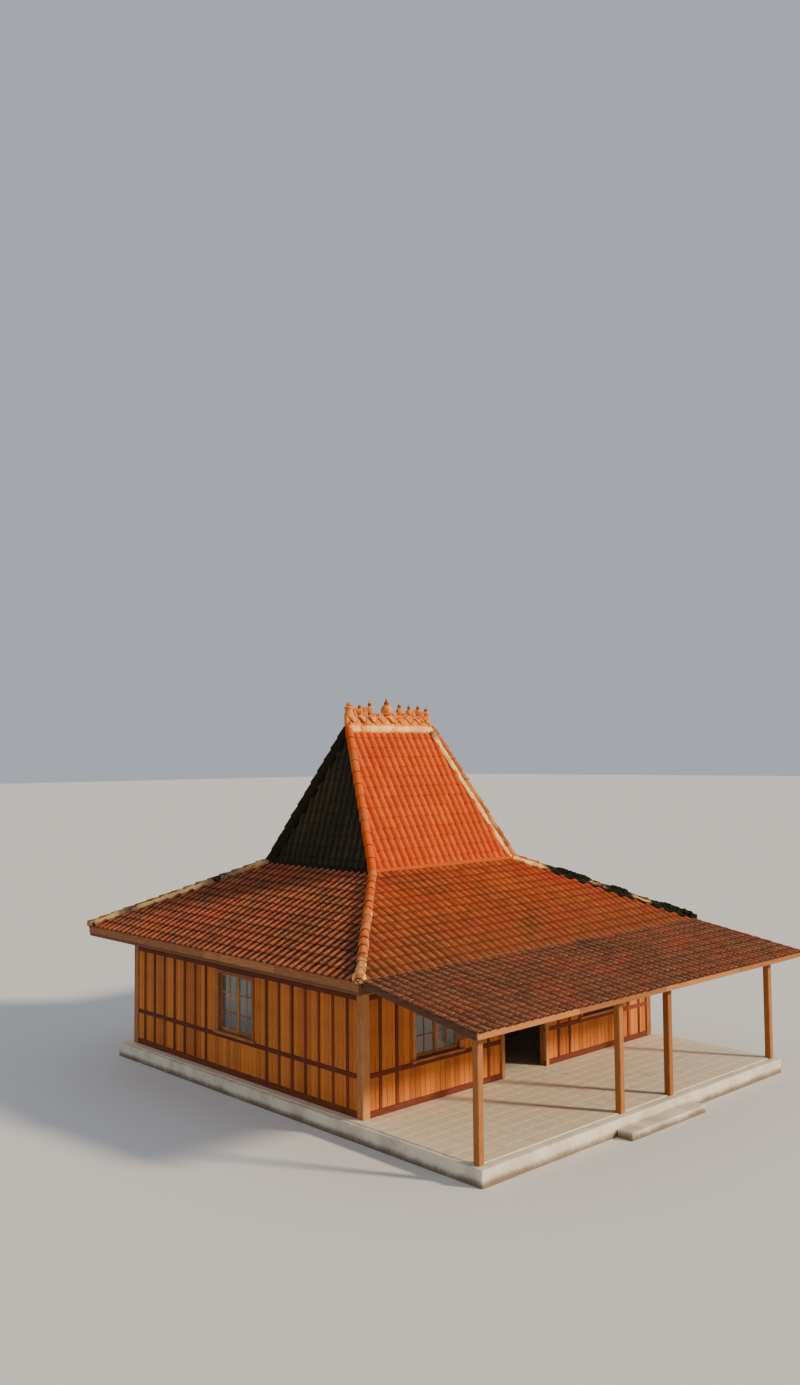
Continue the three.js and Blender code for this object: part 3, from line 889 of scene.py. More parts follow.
def hip_plane(start, end, inside):
    """An upright plane through a hip, facing away from a point inside the face."""
    along = Vector((end[0] - start[0], end[1] - start[1], 0)).normalized()
    normal = Vector((along.y, -along.x, 0))
    point = Vector((start[0], start[1], 0))
    if (inside - point).dot(normal) > 0:
        normal = -normal
    return point, normal


def face_cuts(side, head, foot, head_reach):
    """The two hip planes and the head plane of one side's face."""
    outward, across = side_frame(side)
    cuts = []
    for sign in (-1, 1):
        corner = [math.copysign(1, v) for v in (outward + sign * across)[:2]]
        start = (corner[0] * head[0], corner[1] * head[1])
        end = (corner[0] * foot[0], corner[1] * foot[1])
        cuts.append(hip_plane(start, end, outward * FAR))
    cuts.append((outward * head_reach, -outward))
    return cuts


tile_count = 0
for index, side in enumerate(SIDE_TURNS):
    outward, across = side_frame(side)
    ends = side in ("left", "right")
    ridge, foot, eave = (RIDGE_HALF, FOOT_X, EAVE_X) if ends else (0.0, FOOT_Y, EAVE_Y)
    foot_half, eave_half = (FOOT_Y, EAVE_Y) if ends else (FOOT_X, EAVE_X)
    place, length = slope_place(outward, foot, FOOT_Z, ridge, RIDGE_Z)
    cuts = face_cuts(side, RIDGE_PLAN, FOOT_PLAN, ridge + STEEP_HEAD_GAP)
    finish = STEEP_FINISH[side]
    steep = tile_field(place, length, foot_half, finish, STEEP_SEED + index, cuts)
    put("tiles_steep_" + side, steep, finish, "roof_tile")
    place, length = slope_place(outward, eave, EAVE_Z, foot, FOOT_Z)
    cuts = face_cuts(side, FOOT_PLAN, EAVE_PLAN, foot + SKIRT_HEAD_GAP)
    finish = SKIRT_FINISH[side]
    skirt = tile_field(place, length, eave_half + OVERHANG, finish, SKIRT_SEED + index, cuts)
    put("tiles_lower_" + side, skirt, finish, "roof_tile")
    tile_count += triangles(steep) + triangles(skirt)
print("tile triangles between the hips:", tile_count)

# %% [markdown]
# ## The veranda's tiles
#
# The veranda roof leans against the front eave, a little lower and flatter than the
# roof above it. It has no hips: its field ends at a straight verge on each side.

# %% Tiles of the veranda roof
VERANDA_SEED = 51
VERANDA_OVERHANG = 0.02
VERGE_OVERHANG = 0.045
VERANDA_HEAD_GAP = 0.012

outward, across = side_frame("front")
place, length = slope_place(
    outward, VERANDA_Y + VERANDA_OVERHANG, VERANDA_Z, EAVE_Y, EAVE_Z
)
verge = VERANDA_X + VERGE_OVERHANG
cuts = [
    (across * verge, across),
    (-across * verge, -across),
    (outward * (EAVE_Y + VERANDA_HEAD_GAP), -outward),
]
veranda = tile_field(place, length, VERANDA_X, veranda_clay, VERANDA_SEED, cuts)
put("tiles_veranda", veranda, veranda_clay, "roof_tile")
print("tile triangles of the veranda:", triangles(veranda))

# %% [markdown]
# ## Mortar beds
#
# The tiles of two faces meet at a hip in a ragged line. A mason closes it with a bank
# of mortar and presses half-round cap tiles into it. A bank is one cross-section that
# is carried along a line in short steps. Each point is then pushed in or out by noise,
# which gives the lumps, and the noise is read at the point's own place, so that it
# never repeats. Where algae have blackened a bank, moss has made it thicker too.

# %% Lumpy bars
LUMP_STEP = 0.045
THICKER = (0.22, 2.6)  # share and scale of the slow changes of thickness
LUMPS = [(0.65, 9.0), (0.45, 23.0)]  # share and scale of each size of lump
MOSS_SWELL = 0.30
END_SLOPE = 3.0  # how fast a bar with thin ends grows to its full thickness


def bar_faces(ring, steps):
    """Faces of a closed bar with steps + 1 rings of points."""
    faces = []
    for low in range(0, steps * ring, ring):
        for i in range(ring):
            after = (i + 1) % ring
            faces.append((low + i, low + after, low + ring + after, low + ring + i))
    faces.append(tuple(reversed(range(ring))))
    faces.append(tuple(range(steps * ring, (steps + 1) * ring)))
    return faces


def face_outwards(mesh):
    with edited(mesh) as work:
        bmesh.ops.recalc_face_normals(work, faces=work.faces)


def lumpy_bar(start, end, section, lump, stain, thin=1.0):
    """A bar of mortar. section is a ring of offsets. stain is a function of the share of
    the way along the bar and of the point's number in the ring. thin is the share of its
    thickness that the bar keeps at its ends."""
    steps = max(2, round((end - start).length / LUMP_STEP))
    middle = sum(section, Vector()) / len(section)
    points = []
    stains = []
    for step in range(steps + 1):
        share = step / steps
        centre = start.lerp(end, share)
        swell = 1.0 + THICKER[0] * noise.noise(centre * THICKER[1])
        swell += MOSS_SWELL * max(0.0, stain(share, -1))
        swell *= min(1.0, thin + END_SLOPE * min(share, 1.0 - share))
        stains += [stain(share, number) for number in range(len(section))]
        for offset in section:
            away = offset - middle
            point = centre + middle + away * swell
            bulge = sum(size * noise.noise(point * scale) for size, scale in LUMPS)
            points.append(point + away.normalized() * lump * bulge)
    mesh = new_mesh("lumpy_bar", points, bar_faces(len(section), steps))
    mark(mesh, "stain", stains)
    face_outwards(mesh)
    return mesh


print("mortar bar maker ready")

# %% [markdown]
# ## Half-round cap tiles
#
# A cap is half a tapering pipe. Its wide tail laps over the narrow head of the cap
# below, so rain runs off. It is made along X, with its head towards +X, and a row of
# caps is then laid by the same node tree as the tiles and turned into the line of the
# hip.

# %% Cap tile
CAP_PITCH = 0.30
CAP_LENGTH = 0.36
CAP_TAIL = 0.100
CAP_HEAD = 0.082
CAP_THICK = 0.014
CAP_TILT = 0.010  # the tail lies this much higher than the head
CAP_SWEEP = math.radians(98)
CAP_SIDES = 8


def cap_mesh():
    rings = [
        (-CAP_LENGTH / 2, CAP_TAIL, CAP_TILT),
        (CAP_LENGTH / 2, CAP_HEAD, 0.0),
        (CAP_LENGTH / 2, CAP_HEAD - CAP_THICK, 0.0),
        (-CAP_LENGTH / 2, CAP_TAIL - CAP_THICK, CAP_TILT),
    ]
    angles = [-CAP_SWEEP + 2 * CAP_SWEEP * i / CAP_SIDES for i in range(CAP_SIDES + 1)]
    points = [
        (along, radius * math.sin(angle), radius * math.cos(angle) + lift)
        for along, radius, lift in rings for angle in angles
    ]
    return new_mesh("cap_tile", points, shell_faces(len(rings), len(angles)))


cap_tile = unit_object("cap_tile", cap_mesh())
print("one cap tile:", triangles(cap_tile.data), "triangles")

# %% [markdown]
# ## The finish of the caps
#
# The caps are of the same clay as the tiles, but the mason's hands have smeared them with lime, and
# they take the red and black of the mortar under them, where the black is algae and, on the shaded
# left side, painted shade. Their meshes carry `stain` as the mortar does, and `lime`, which is 1
# where a cap was plastered over.

# %% Cap finish
CAP_GLOSS = 0.12


def cap_finish():
    """Clay caps, smeared with lime and stained red and black; the black is algae, and painted shade
    on the shaded left side.
    """
    clay = Finish("clay_caps", 0.85, CAP_GLOSS)
    mottle = clay.noise(12.0, 5.0, 0.65)
    smear = clay.noise(5.0, 5.0, 0.6)
    kiln = (clay.attribute("tone") * 0.5 + mottle * 0.6).between(0.2, 0.9)
    colour = clay.mix(kiln, (0.32, 0.085, 0.022), (0.58, 0.20, 0.055))
    lime = clay.attribute("lime")
    limed = (smear + lime * 0.06).between(0.50, 0.66) * (lime * 0.12 + 0.5)
    colour = clay.mix(limed, colour, (0.80, 0.45, 0.18))
    stain = clay.attribute("stain")
    uneven = (mottle + smear - 1.0) * 0.9
    red = (uneven - stain).between(0.2, 0.6)
    colour = clay.mix(red * 0.9, colour, (0.62, 0.085, 0.006))
    black = (uneven + stain).between(0.25, 0.6)
    colour = clay.mix(black * 0.96, colour, ALGAE_AND_SHADE)
    return clay.finish(colour, None, mottle, 0.004)


cap_clay = cap_finish()
print("cap finish ready")

# %% [markdown]
# ## How a hip is built up
#
# A hip is where two faces meet, so its cross-section follows both. For each face, the
# direction across the face and away from the hip is found from the face's normal. The
# bank starts a hand's width down one face, climbs to the cap and goes down the other.
# A row of caps is then laid along the hip and pressed into the bank.

# %% Hip cross-sections and rows of caps
CORNERS = [(-1, -1), (1, -1), (1, 1), (-1, 1)]  # front left, front right, back right, back left
CAP_SLIP = 0.006
CAP_TURN = 0.03


def face_normal(outward, run, drop):
    return (outward * drop + Vector((0, 0, run))).normalized()


def hip_normals(sx, sy, run_x, run_y, drop):
    """The normals of the end face and the long face that meet at a corner's hip."""
    end = face_normal(Vector((sx, 0, 0)), run_x, drop)
    return end, face_normal(Vector((0, sy, 0)), run_y, drop)


def hip_section(along, normals, bank):
    """Offsets of a bank's cross-section, from one face over the hip to the other."""
    crown = (normals[0] + normals[1]).normalized()
    wide = bank["half_width"]
    rise = bank["rise"]
    flanks = []
    for normal, other in (normals, normals[::-1]):
        down = normal.cross(along).normalized()
        if down.dot(other) > 0:
            down = -down
        flanks.append([
            down * wide - normal * 0.01,
            down * wide * 1.02 + normal * rise * 0.55,
            down * wide * 0.72 + normal * rise * 1.05,
            crown * rise * 1.25 + down * wide * 0.30,
        ])
    return flanks[0] + flanks[1][::-1] + [-crown * 0.02]


def hip_row(start, end, normals, bank, seed):
    """A row of caps from the foot of a hip to its head."""
    along = (end - start).normalized()
    crown = (normals[0] + normals[1]).normalized()
    count = round((end - start).length / CAP_PITCH)
    pitch = ((end - start).length / count, 1.0)
    row = laid(cap_tile, count, 1, pitch, cap_clay, CAP_SLIP, CAP_TURN, seed)
    turned = Matrix((along, crown.cross(along), crown)).transposed()
    middle = start.lerp(end, 0.5) + crown * bank["cap_lift"]
    row.transform(Matrix.Translation(middle) @ turned.to_4x4())
    return row


print("hip builder ready")

# %% [markdown]
# ## Stains along a bar
#
# Each hip has weathered in its own way, so its stain is a function: given how far along
# the hip a point is, and which point of the cross-section it is, it answers with a
# number. One kind of function comes and goes by noise alone. The other runs between
# values that were set at chosen places, and frays where they change.

# %% Stain functions
END_FLANK = (0, 1, 2, 3)  # the points of a bank that lie on the end face
FLANK_FEET = (0, 1, 6, 7)  # the points of a bank that lie next to the tiles
# Stains of flanks that are painted black as shade
BLACK = 0.95
NEARLY_BLACK = 0.9
PATCHINESS = 0.55
PATCHES = 7.0  # about how many patches a bar has along its length
RAGGED = 0.40
FRAYS = 38.0  # how closely the changes along a bar are frayed
NO_LIME = 2.0  # a share of the way that no cap reaches


def patchy(seed, base, dark_flank=()):
    """Stain that comes and goes along a bar. Points of dark_flank are all black, as painted shade.
    """
    def stain(share, number):
        if number in dark_flank:
            return BLACK
        return base + PATCHINESS * noise.noise(Vector((share * PATCHES, seed * 3.7, 0.5)))
    return stain


def graded(stops, dark=(), dark_from=0.0):
    """Stain that runs between (share, value) stops, with ragged changes. Points whose numbers are
    in dark are black past the share dark_from, as painted shade."""
    def stain(share, number):
        if share > dark_from and number in dark:
            return NEARLY_BLACK
        ragged = RAGGED * noise.noise(Vector((share * FRAYS, number * 0.9, 1.5)))
        for (low, first), (high, second) in zip(stops, stops[1:]):
            if share <= high:
                return first + (second - first) * (share - low) / (high - low) + ragged
        return stops[-1][1] + ragged
    return stain


def weather(mesh, start, end, stain, limed_from=NO_LIME):
    """Stains a row of caps by how far along the line from start to end each point is.
    Caps past the share limed_from are smeared with lime."""
    along = end - start
    shares = [(v.co - start).dot(along) / along.length_squared for v in mesh.vertices]
    mark(mesh, "stain", [stain(min(max(share, 0.0), 1.0), -1) for share in shares])
    mark(mesh, "lime", [float(share > limed_from) for share in shares])


print("stain functions ready")

# %% [markdown]
# ## The upper hips
#
# The four hips of the steep roof climb from its foot to the ends of the ridge. The one at the front
# left has taken its colour from red clay, the next two are pale, and the fourth, at the back left,
# is black with algae and with painted shade. The flanks that lie beside the dark left face are
# painted black too, as shade.

# %% Upper hips
UPPER_BANK = {"half_width": 0.150, "rise": 0.070, "lump": 0.020, "cap_lift": 0.024}
NEAR_BANK = {"half_width": 0.100, "rise": 0.045, "lump": 0.012, "cap_lift": 0.027}
# Stain of the mortar and of the caps, for each corner; the black at the back left is algae and
# painted shade
UPPER_STAINS = [(-0.70, -0.50), (0.0, 0.10), (0.1, 0.2), (0.8, 0.8)]
UPPER_CAP_SEED = 71

upper_banks = []
upper_caps = []
for index, (sx, sy) in enumerate(CORNERS):
    foot = Vector((sx * FOOT_X, sy * FOOT_Y, FOOT_Z))
    head = Vector((sx * RIDGE_HALF, 0, RIDGE_Z))
    normals = hip_normals(sx, sy, FOOT_X - RIDGE_HALF, FOOT_Y, RIDGE_Z - FOOT_Z)
    bank = NEAR_BANK if index == 0 else UPPER_BANK
    section = hip_section((head - foot).normalized(), normals, bank)
    mortar_base, cap_base = UPPER_STAINS[index]
    stain = patchy(index, mortar_base, END_FLANK if sx < 0 else ())
    upper_banks.append(lumpy_bar(foot, head, section, bank["lump"], stain))
    caps = hip_row(foot, head, normals, bank, UPPER_CAP_SEED + index)
    weather(caps, foot, head, patchy(index, cap_base))
    upper_caps.append(caps)
print("upper hips:", len(upper_banks))

# %% [markdown]
# ## The lower hips
#
# The lower hips are patched with black: the one at the front right was followed from its top to the
# eave, patch by patch, and below its top the feet of its bank beside the tiles are painted black,
# as shade and algae. The one at the front left is cleaner, and its lowest caps were plastered over;
# the flank of its bank on the left end face is painted black as shade. Dabs of mortar hold the
# lowest cap of each hip and stop its open end, or birds would nest in it.

# %% Lower hips
LOWER_BANK = {"half_width": 0.135, "rise": 0.078, "lump": 0.030, "cap_lift": 0.012}
NEAR_LOWER_BANK = {"half_width": 0.085, "rise": 0.060, "lump": 0.020, "cap_lift": 0.002}
STOP_BANK = {"half_width": 0.082, "rise": 0.064, "lump": 0.012}  # fills the lowest cap
SADDLE_BANK = {"half_width": 0.140, "rise": 0.070, "lump": 0.034}  # lies round that cap
# Each dab's bank, its reach up the hip from the eave, and its reach past the eave
DABS = [(STOP_BANK, 0.07, 0.022), (SADDLE_BANK, 0.24, -0.01)]
DAB_THIN = 0.75
# Shares of the way down a hip at which its stain changes, and the stain there
FRONT_RIGHT_STAIN = [
    (0.00, 0.0), (0.15, 0.05), (0.25, 0.90), (0.37, 0.85), (0.45, 0.38), (0.50, 0.40),
    (0.55, 0.85), (0.61, 0.80), (0.68, 0.30), (0.75, 0.32), (0.83, 0.90), (1.00, 0.80),
]
FRONT_LEFT_STAIN = [(0.0, -0.50), (0.78, -0.40), (0.87, -0.05), (1.0, 0.05)]
# For each corner: the bank, its stain, its caps' stain, the share past which they are
# limed, and how stained its dabs are
LOWER_HIPS = [
    (NEAR_LOWER_BANK, graded(FRONT_LEFT_STAIN, END_FLANK), graded(FRONT_LEFT_STAIN), 0.84, 0.0),
    (
        LOWER_BANK, graded(FRONT_RIGHT_STAIN, FLANK_FEET, 0.20), graded(FRONT_RIGHT_STAIN),
        NO_LIME, 0.45,
    ),
    (LOWER_BANK, patchy(11, 0.30), patchy(11, 0.30), NO_LIME, 0.45),
    (LOWER_BANK, patchy(12, 0.30), patchy(12, 0.30), NO_LIME, 0.45),
]
LOWER_CAP_SEED = 81


def lower_hip(sx, sy):
    """The head and foot of a lower hip, its uphill direction and its faces' normals."""
    head = Vector((sx * FOOT_X, sy * FOOT_Y, FOOT_Z))
    eave = Vector((sx * EAVE_X, sy * EAVE_Y, EAVE_Z))
    normals = hip_normals(sx, sy, EAVE_X - FOOT_X, EAVE_Y - FOOT_Y, FOOT_Z - EAVE_Z)
    return head, eave, (head - eave).normalized(), normals


lower_banks = []
lower_caps = []
for index, corner in enumerate(CORNERS):
    bank, stain, cap_stain, limed_from, dab_base = LOWER_HIPS[index]
    head, eave, uphill, normals = lower_hip(*corner)
    section = hip_section(uphill, normals, bank)
    lower_banks.append(lumpy_bar(head, eave, section, bank["lump"], stain))
    for dab, depth, overhang in DABS:
        lower_banks.append(lumpy_bar(
            eave + uphill * depth, eave - uphill * overhang,
            hip_section(uphill, normals, dab), dab["lump"], patchy(index + 40, dab_base), DAB_THIN,
        ))
    caps = hip_row(eave, head, normals, bank, LOWER_CAP_SEED + index)
    weather(caps, head, eave, cap_stain, limed_from)
    lower_caps.append(caps)
print("lower banks and dabs:", len(lower_banks))

# %% [markdown]
# ## The ridge bank and the ring at the steep roof's foot
#
# Where the steep roof lands on the low one, a ring of mortar keeps the rain out. The
# ridge has a thick bank too, on which the crest stands. Both are bars again, with
# cross-sections of their own.

# %% Ring and ridge banks
RIDGE_BANK = [
    (-0.125, -0.080), (-0.135, -0.035), (-0.115, 0.010), (-0.080, 0.045),
    (0.080, 0.045), (0.115, 0.010), (0.135, -0.035), (0.125, -0.080), (0.0, -0.18),
]
RIDGE_BANK_LEFT = -1.39
RIDGE_BANK_RIGHT = 1.25
RIDGE_LUMP = 0.016
RING_BANK = [
    (-0.05, -0.02), (0.08, -0.030), (0.100, 0.004), (0.074, 0.036), (0.030, 0.054), (-0.04, 0.064),
]
RING_LUMP = 0.014
RING_LAP = 0.06  # how far the bars of the ring cross at its corners

ridge_bank = lumpy_bar(
    Vector((RIDGE_BANK_LEFT, 0, RIDGE_Z)), Vector((RIDGE_BANK_RIGHT, 0, RIDGE_Z)),
    [Vector((0, across, rise)) for across, rise in RIDGE_BANK], RIDGE_LUMP, patchy(21, 0.0),
)
ring_banks = []
for index, side in enumerate(SIDE_TURNS):
    outward, across = side_frame(side)
    reach, half = (FOOT_X, FOOT_Y) if side in ("left", "right") else (FOOT_Y, FOOT_X)
    section = [outward * out + Vector((0, 0, rise)) for out, rise in RING_BANK]
    centre = outward * reach + Vector((0, 0, FOOT_Z))
    end = across * (half + RING_LAP)
    # On the left side the ring is black: algae, and painted shade like the left face's.
    stain = patchy(31 + index, 0.85 if side == "left" else -0.95)
    ring_banks.append(lumpy_bar(centre - end, centre + end, section, RING_LUMP, stain))

upper_mortar = joined("mortar_upper", upper_banks + [ridge_bank])
lower_mortar = joined("mortar_lower", lower_banks + ring_banks)
put("mortar_upper", upper_mortar, lime_mortar, "mortar", ["upper_mortar"])
put("caps_upper", joined("caps_upper", upper_caps), cap_clay, "terracotta")
put("mortar_lower", lower_mortar, lime_mortar, "mortar", ["lower_mortar"])
put("caps_lower", joined("caps_lower", lower_caps), cap_clay, "terracotta")
print("banks and caps placed")

# %% [markdown]
# ## Moss cushions
#
# Moss grows as small domes that crowd together on damp mortar. Where the hip at the
# front right is blackest, moss has grown right over its caps. A bed is laid over each
# such stretch, and a geometry node tree scatters points over the beds, stands a lumpy
# dome on the surface at each, and gives each a size of its own.

# %% The tree that scatters cushions
scatter, scatter_in = new_tree("scatter", [
    ("Ground", "NodeSocketObject"),
    ("Density", "NodeSocketFloat"),
    ("Smallest", "NodeSocketFloat"),
    ("Largest", "NodeSocketFloat"),
    ("Seed", "NodeSocketInt"),
    ("Unit", "NodeSocketObject"),
    ("Finish", "NodeSocketMaterial"),
])
scatter_points = scatter.node("GeometryNodeDistributePointsOnFaces", None, {
    "Mesh": picked(scatter, scatter_in["Ground"]),
    "Density": scatter_in["Density"],
    "Seed": scatter_in["Seed"],
}, "Points")
scatter_size = scatter.node("FunctionNodeRandomValue", {"data_type": "FLOAT"}, {
    2: scatter_in["Smallest"], 3: scatter_in["Largest"], "Seed": scatter_in["Seed"] + 1,
}, 1)
scatter_domes = scatter.node("GeometryNodeInstanceOnPoints", None, {
    "Points": scatter_points,
    "Instance": picked(scatter, scatter_in["Unit"]),
    "Rotation": Signal(scatter, scatter_points.socket.node.outputs["Rotation"]),
    "Scale": scatter_size,
})
SCATTER = close_tree(scatter, scatter_domes, scatter_in["Finish"])
print("nodes that scatter cushions:", len(SCATTER.nodes))

# %% [markdown]
# ## Moss on the front right hip
#
# Wet moss is nearly black, and olive only at its dry tips, so the finish mixes the two
# by a fine noise. The dome has three rings of points and one on top. Over a thousand
# domes are needed, so each has only 34 triangles.

# %% Moss
MOSS_TIP = (0.034, 0.036, 0.013)
MOSS_GLOSS = 0.1
MOSS_BANK = {"half_width": 0.100, "rise": 0.098, "lump": 0.045}  # just covers the caps
MOSSY_STRETCHES = [(0.23, 0.43), (0.53, 0.63), (0.80, 1.00)]  # shares of the way down the hip
MOSS_THIN = 0.6
MOSS_DENSITY = 700.0
MOSS_SMALLEST = 0.012
MOSS_LARGEST = 0.036
MOSS_SEED = 7
DOME_SIDES = 6
DOME_RINGS = [(1.0, -0.30), (0.92, 0.18), (0.55, 0.50)]  # radius and height
DOME_TOP = 0.62
DOME_LUMP = 0.35


def moss_finish():
    plant = Finish("moss", 0.95, MOSS_GLOSS)
    clumps = plant.noise(26.0, 5.0, 0.7)
    colour = plant.mix(clumps.between(0.46, 0.66), ALGAE_AND_SHADE, MOSS_TIP)
    return plant.finish(colour, None, plant.noise(160.0, 4.0, 0.7), 0.004)


def dome_mesh():
    """A lumpy dome of about radius 1, whose foot is sunk a little below Z = 0."""
    points = [(0, 0, DOME_TOP)]
    for radius, level in DOME_RINGS:
        for i in range(DOME_SIDES):
            angle = 2 * math.pi * i / DOME_SIDES
            way = Vector((math.cos(angle), math.sin(angle), level))
            bulge = radius * (1.0 + DOME_LUMP * noise.noise(way * 3.0))
            points.append((bulge * way.x, bulge * way.y, level))
    faces = [tuple(reversed(range(1, DOME_SIDES + 1)))]
    last = 1 + (len(DOME_RINGS) - 1) * DOME_SIDES
    for i in range(DOME_SIDES):
        after = (i + 1) % DOME_SIDES
        for low in range(1, last, DOME_SIDES):
            high = low + DOME_SIDES
            faces.append((low + i, low + after, high + after, high + i))
        faces.append((last + i, last + after, 0))
    return new_mesh("moss_dome", points, faces)


moss = moss_finish()
head, eave, uphill, normals = lower_hip(*CORNERS[1])
cover = hip_section(uphill, normals, MOSS_BANK)
moss_beds = [
    lumpy_bar(
        head.lerp(eave, high), head.lerp(eave, low), cover, MOSS_BANK["lump"],
        patchy(50, 0.9), MOSS_THIN,
    )
    for high, low in MOSSY_STRETCHES
]
moss_ground = unit_object("moss_ground", joined("moss_ground", moss_beds))
moss_dome = unit_object("moss_dome", dome_mesh())
cushions = grown(SCATTER, {
    "Ground": moss_ground,
    "Density": MOSS_DENSITY,
    "Smallest": MOSS_SMALLEST,
    "Largest": MOSS_LARGEST,
    "Seed": MOSS_SEED,
    "Unit": moss_dome,
    "Finish": moss,
})
put("moss", joined("moss", [moss_ground.data.copy(), cushions]), moss, "mortar")
dome = moss_dome.data
print("moss cushions:", len(cushions.vertices) // len(dome.vertices), "x", triangles(dome))

# %% [markdown]
# ## The crest
#
# Moulded ridge tiles stand in a row on the ridge bank, and eight finials rise from
# them. The finials are thrown on a wheel, so each is a profile that is spun about an
# upright axis: a spire, an onion in the middle, and a thick block at the left end. Each
# profile lists shares of the greatest radius and of the height.

# %% Finial profiles
SPIRE = [
    (0.00, 0.00), (0.95, 0.00), (1.00, 0.07), (0.66, 0.12), (0.50, 0.20), (0.74, 0.29),
    (1.00, 0.40), (0.96, 0.49), (0.62, 0.58), (0.36, 0.65), (0.54, 0.71), (0.50, 0.76),
    (0.24, 0.83), (0.16, 0.93), (0.00, 1.00),
]
ONION = [
    (0.00, 0.00), (0.62, 0.00), (0.66, 0.06), (0.46, 0.11), (0.60, 0.17), (0.92, 0.26),
    (1.00, 0.36), (0.90, 0.47), (0.62, 0.57), (0.38, 0.63), (0.46, 0.67), (0.40, 0.71),
    (0.22, 0.78), (0.14, 0.90), (0.00, 1.00),
]
BLOCK = [
    (0.00, 0.00), (1.00, 0.00), (1.00, 0.26), (0.86, 0.30), (0.84, 0.52), (1.00, 0.57),
    (1.00, 0.66), (0.80, 0.71), (0.52, 0.76), (0.62, 0.82), (0.52, 0.89), (0.24, 0.95),
    (0.00, 1.00),
]
FINIAL_SEGMENTS = 18
WAIST = 0.55  # rings with less than this share of the radius are painted darker, as shade
SHADED_SPAN = (0.1, 0.8)  # shares of the height between which they do
BAND_TOP = 7.84
FINIAL_FOOT = BAND_TOP - 0.05
# Place along the ridge, greatest radius, tip height and profile of each finial
FINIALS = [
    (-1.315, 0.108, 8.140, BLOCK), (-0.995, 0.088, 8.130, SPIRE), (-0.680, 0.085, 8.215, SPIRE),
    (-0.150, 0.140, 8.295, ONION), (0.265, 0.085, 8.190, SPIRE), (0.580, 0.082, 8.145, SPIRE),
    (0.880, 0.090, 8.145, SPIRE), (1.150, 0.095, 8.080, SPIRE),
]


def spun(profile, radius, top, centre_x):
    """A solid of revolution about an upright axis on the ridge line."""
    points = []
    rings = []
    waist_shade = []
    for share, level in profile:
        z = FINIAL_FOOT + level * (top - FINIAL_FOOT)
        count = FINIAL_SEGMENTS if share else 1
        rings.append([len(points) + i for i in range(count)])
        waist_shade += [float(SHADED_SPAN[0] < level < SHADED_SPAN[1] and share < WAIST)] * count
        for i in range(count):
            angle = 2 * math.pi * i / FINIAL_SEGMENTS
            reach = share * radius
            points.append((centre_x + reach * math.cos(angle), reach * math.sin(angle), z))
    faces = []
    for low, high in zip(rings, rings[1:]):
        for i in range(FINIAL_SEGMENTS):
            after = (i + 1) % FINIAL_SEGMENTS
            corners = [low[i % len(low)], low[after % len(low)]]
            corners += [high[after % len(high)], high[i % len(high)]]
            faces.append(tuple(dict.fromkeys(corners)))
    mesh = new_mesh("finial", points, faces)
    mark(mesh, "grime_and_shade", waist_shade)
    return mesh


finials = [spun(profile, radius, tip, x) for x, radius, tip, profile in FINIALS]
print("finials:", len(finials))

# %% [markdown]
# ## Scrolls between the finials
#
# Pairs of clay scrolls stand back to back between neighbouring finials, so that the
# crest looks like open lace against the sky. A scroll is a rod that gets thinner along
# a spiral, drawn taller than wide. Each pair fills the gap that it stands in.

# %% Scrolls
SCROLL_TURN = math.radians(430)
SCROLL_STEPS = 13
SCROLL_SHRINK = 0.72
SCROLL_THICK = 0.024
SCROLL_THINNING = 0.012
SCROLL_SINK = 0.03
SCROLL_TOPS = [8.04, 8.06, 7.91, 7.91, 7.93, 8.03, 7.99]  # one for each gap, from the left
FINIAL_SIDE = 0.6  # share of a finial's radius at which the gap beside it starts
GAP_FILL = 0.85
ROD_SIDES = 6
ROD_DEPTH = 1.5


def rod(course):
    """A rod that is deeper than wide. course lists middles, outward ways and half widths."""
    points = []
    for middle, outwards, thick in course:
        for side in range(ROD_SIDES):
            turn = 2 * math.pi * side / ROD_SIDES
            across = outwards * thick * math.cos(turn)
            points.append(middle + across + Vector((0, ROD_DEPTH * thick * math.sin(turn), 0)))
    mesh = new_mesh("rod", points, bar_faces(ROD_SIDES, len(course) - 1))
    face_outwards(mesh)
    return mesh


def scroll(centre_x, half_width, top, way):
    """A spiral in the plane of the ridge, from its foot inwards."""
    half_height = (top - BAND_TOP + SCROLL_SINK) / 2
    centre = Vector((centre_x, 0, top - half_height))
    course = []
    for step in range(SCROLL_STEPS + 1):
        share = step / SCROLL_STEPS
        angle = math.radians(-90) + share * SCROLL_TURN
        outwards = Vector((way * math.cos(angle), 0, math.sin(angle)))
        reach = Vector((outwards.x * half_width, 0, outwards.z * half_height))
        middle = centre + reach * (1.0 - SCROLL_SHRINK * share)
        course.append((middle, outwards, SCROLL_THICK - SCROLL_THINNING * share))
    return rod(course)


scrolls = []
for finial, after, top in zip(FINIALS, FINIALS[1:], SCROLL_TOPS):
    left = finial[0] + finial[1] * FINIAL_SIDE
    right = after[0] - after[1] * FINIAL_SIDE
    quarter = (right - left) / 4
    scrolls.append(scroll(left + quarter, quarter * GAP_FILL, top, 1))
    scrolls.append(scroll(right - quarter, quarter * GAP_FILL, top, -1))
print("scrolls:", len(scrolls))

# %% [markdown]
# ## Moulded ridge tiles
#
# Each ridge tile is a plinth with an ogee leaf on it, between two curls. It is drawn as
# an outline from the side and given thickness. Bevelled edges catch the light along the
# moulding. The outline is one half, from the middle outwards, and is mirrored.

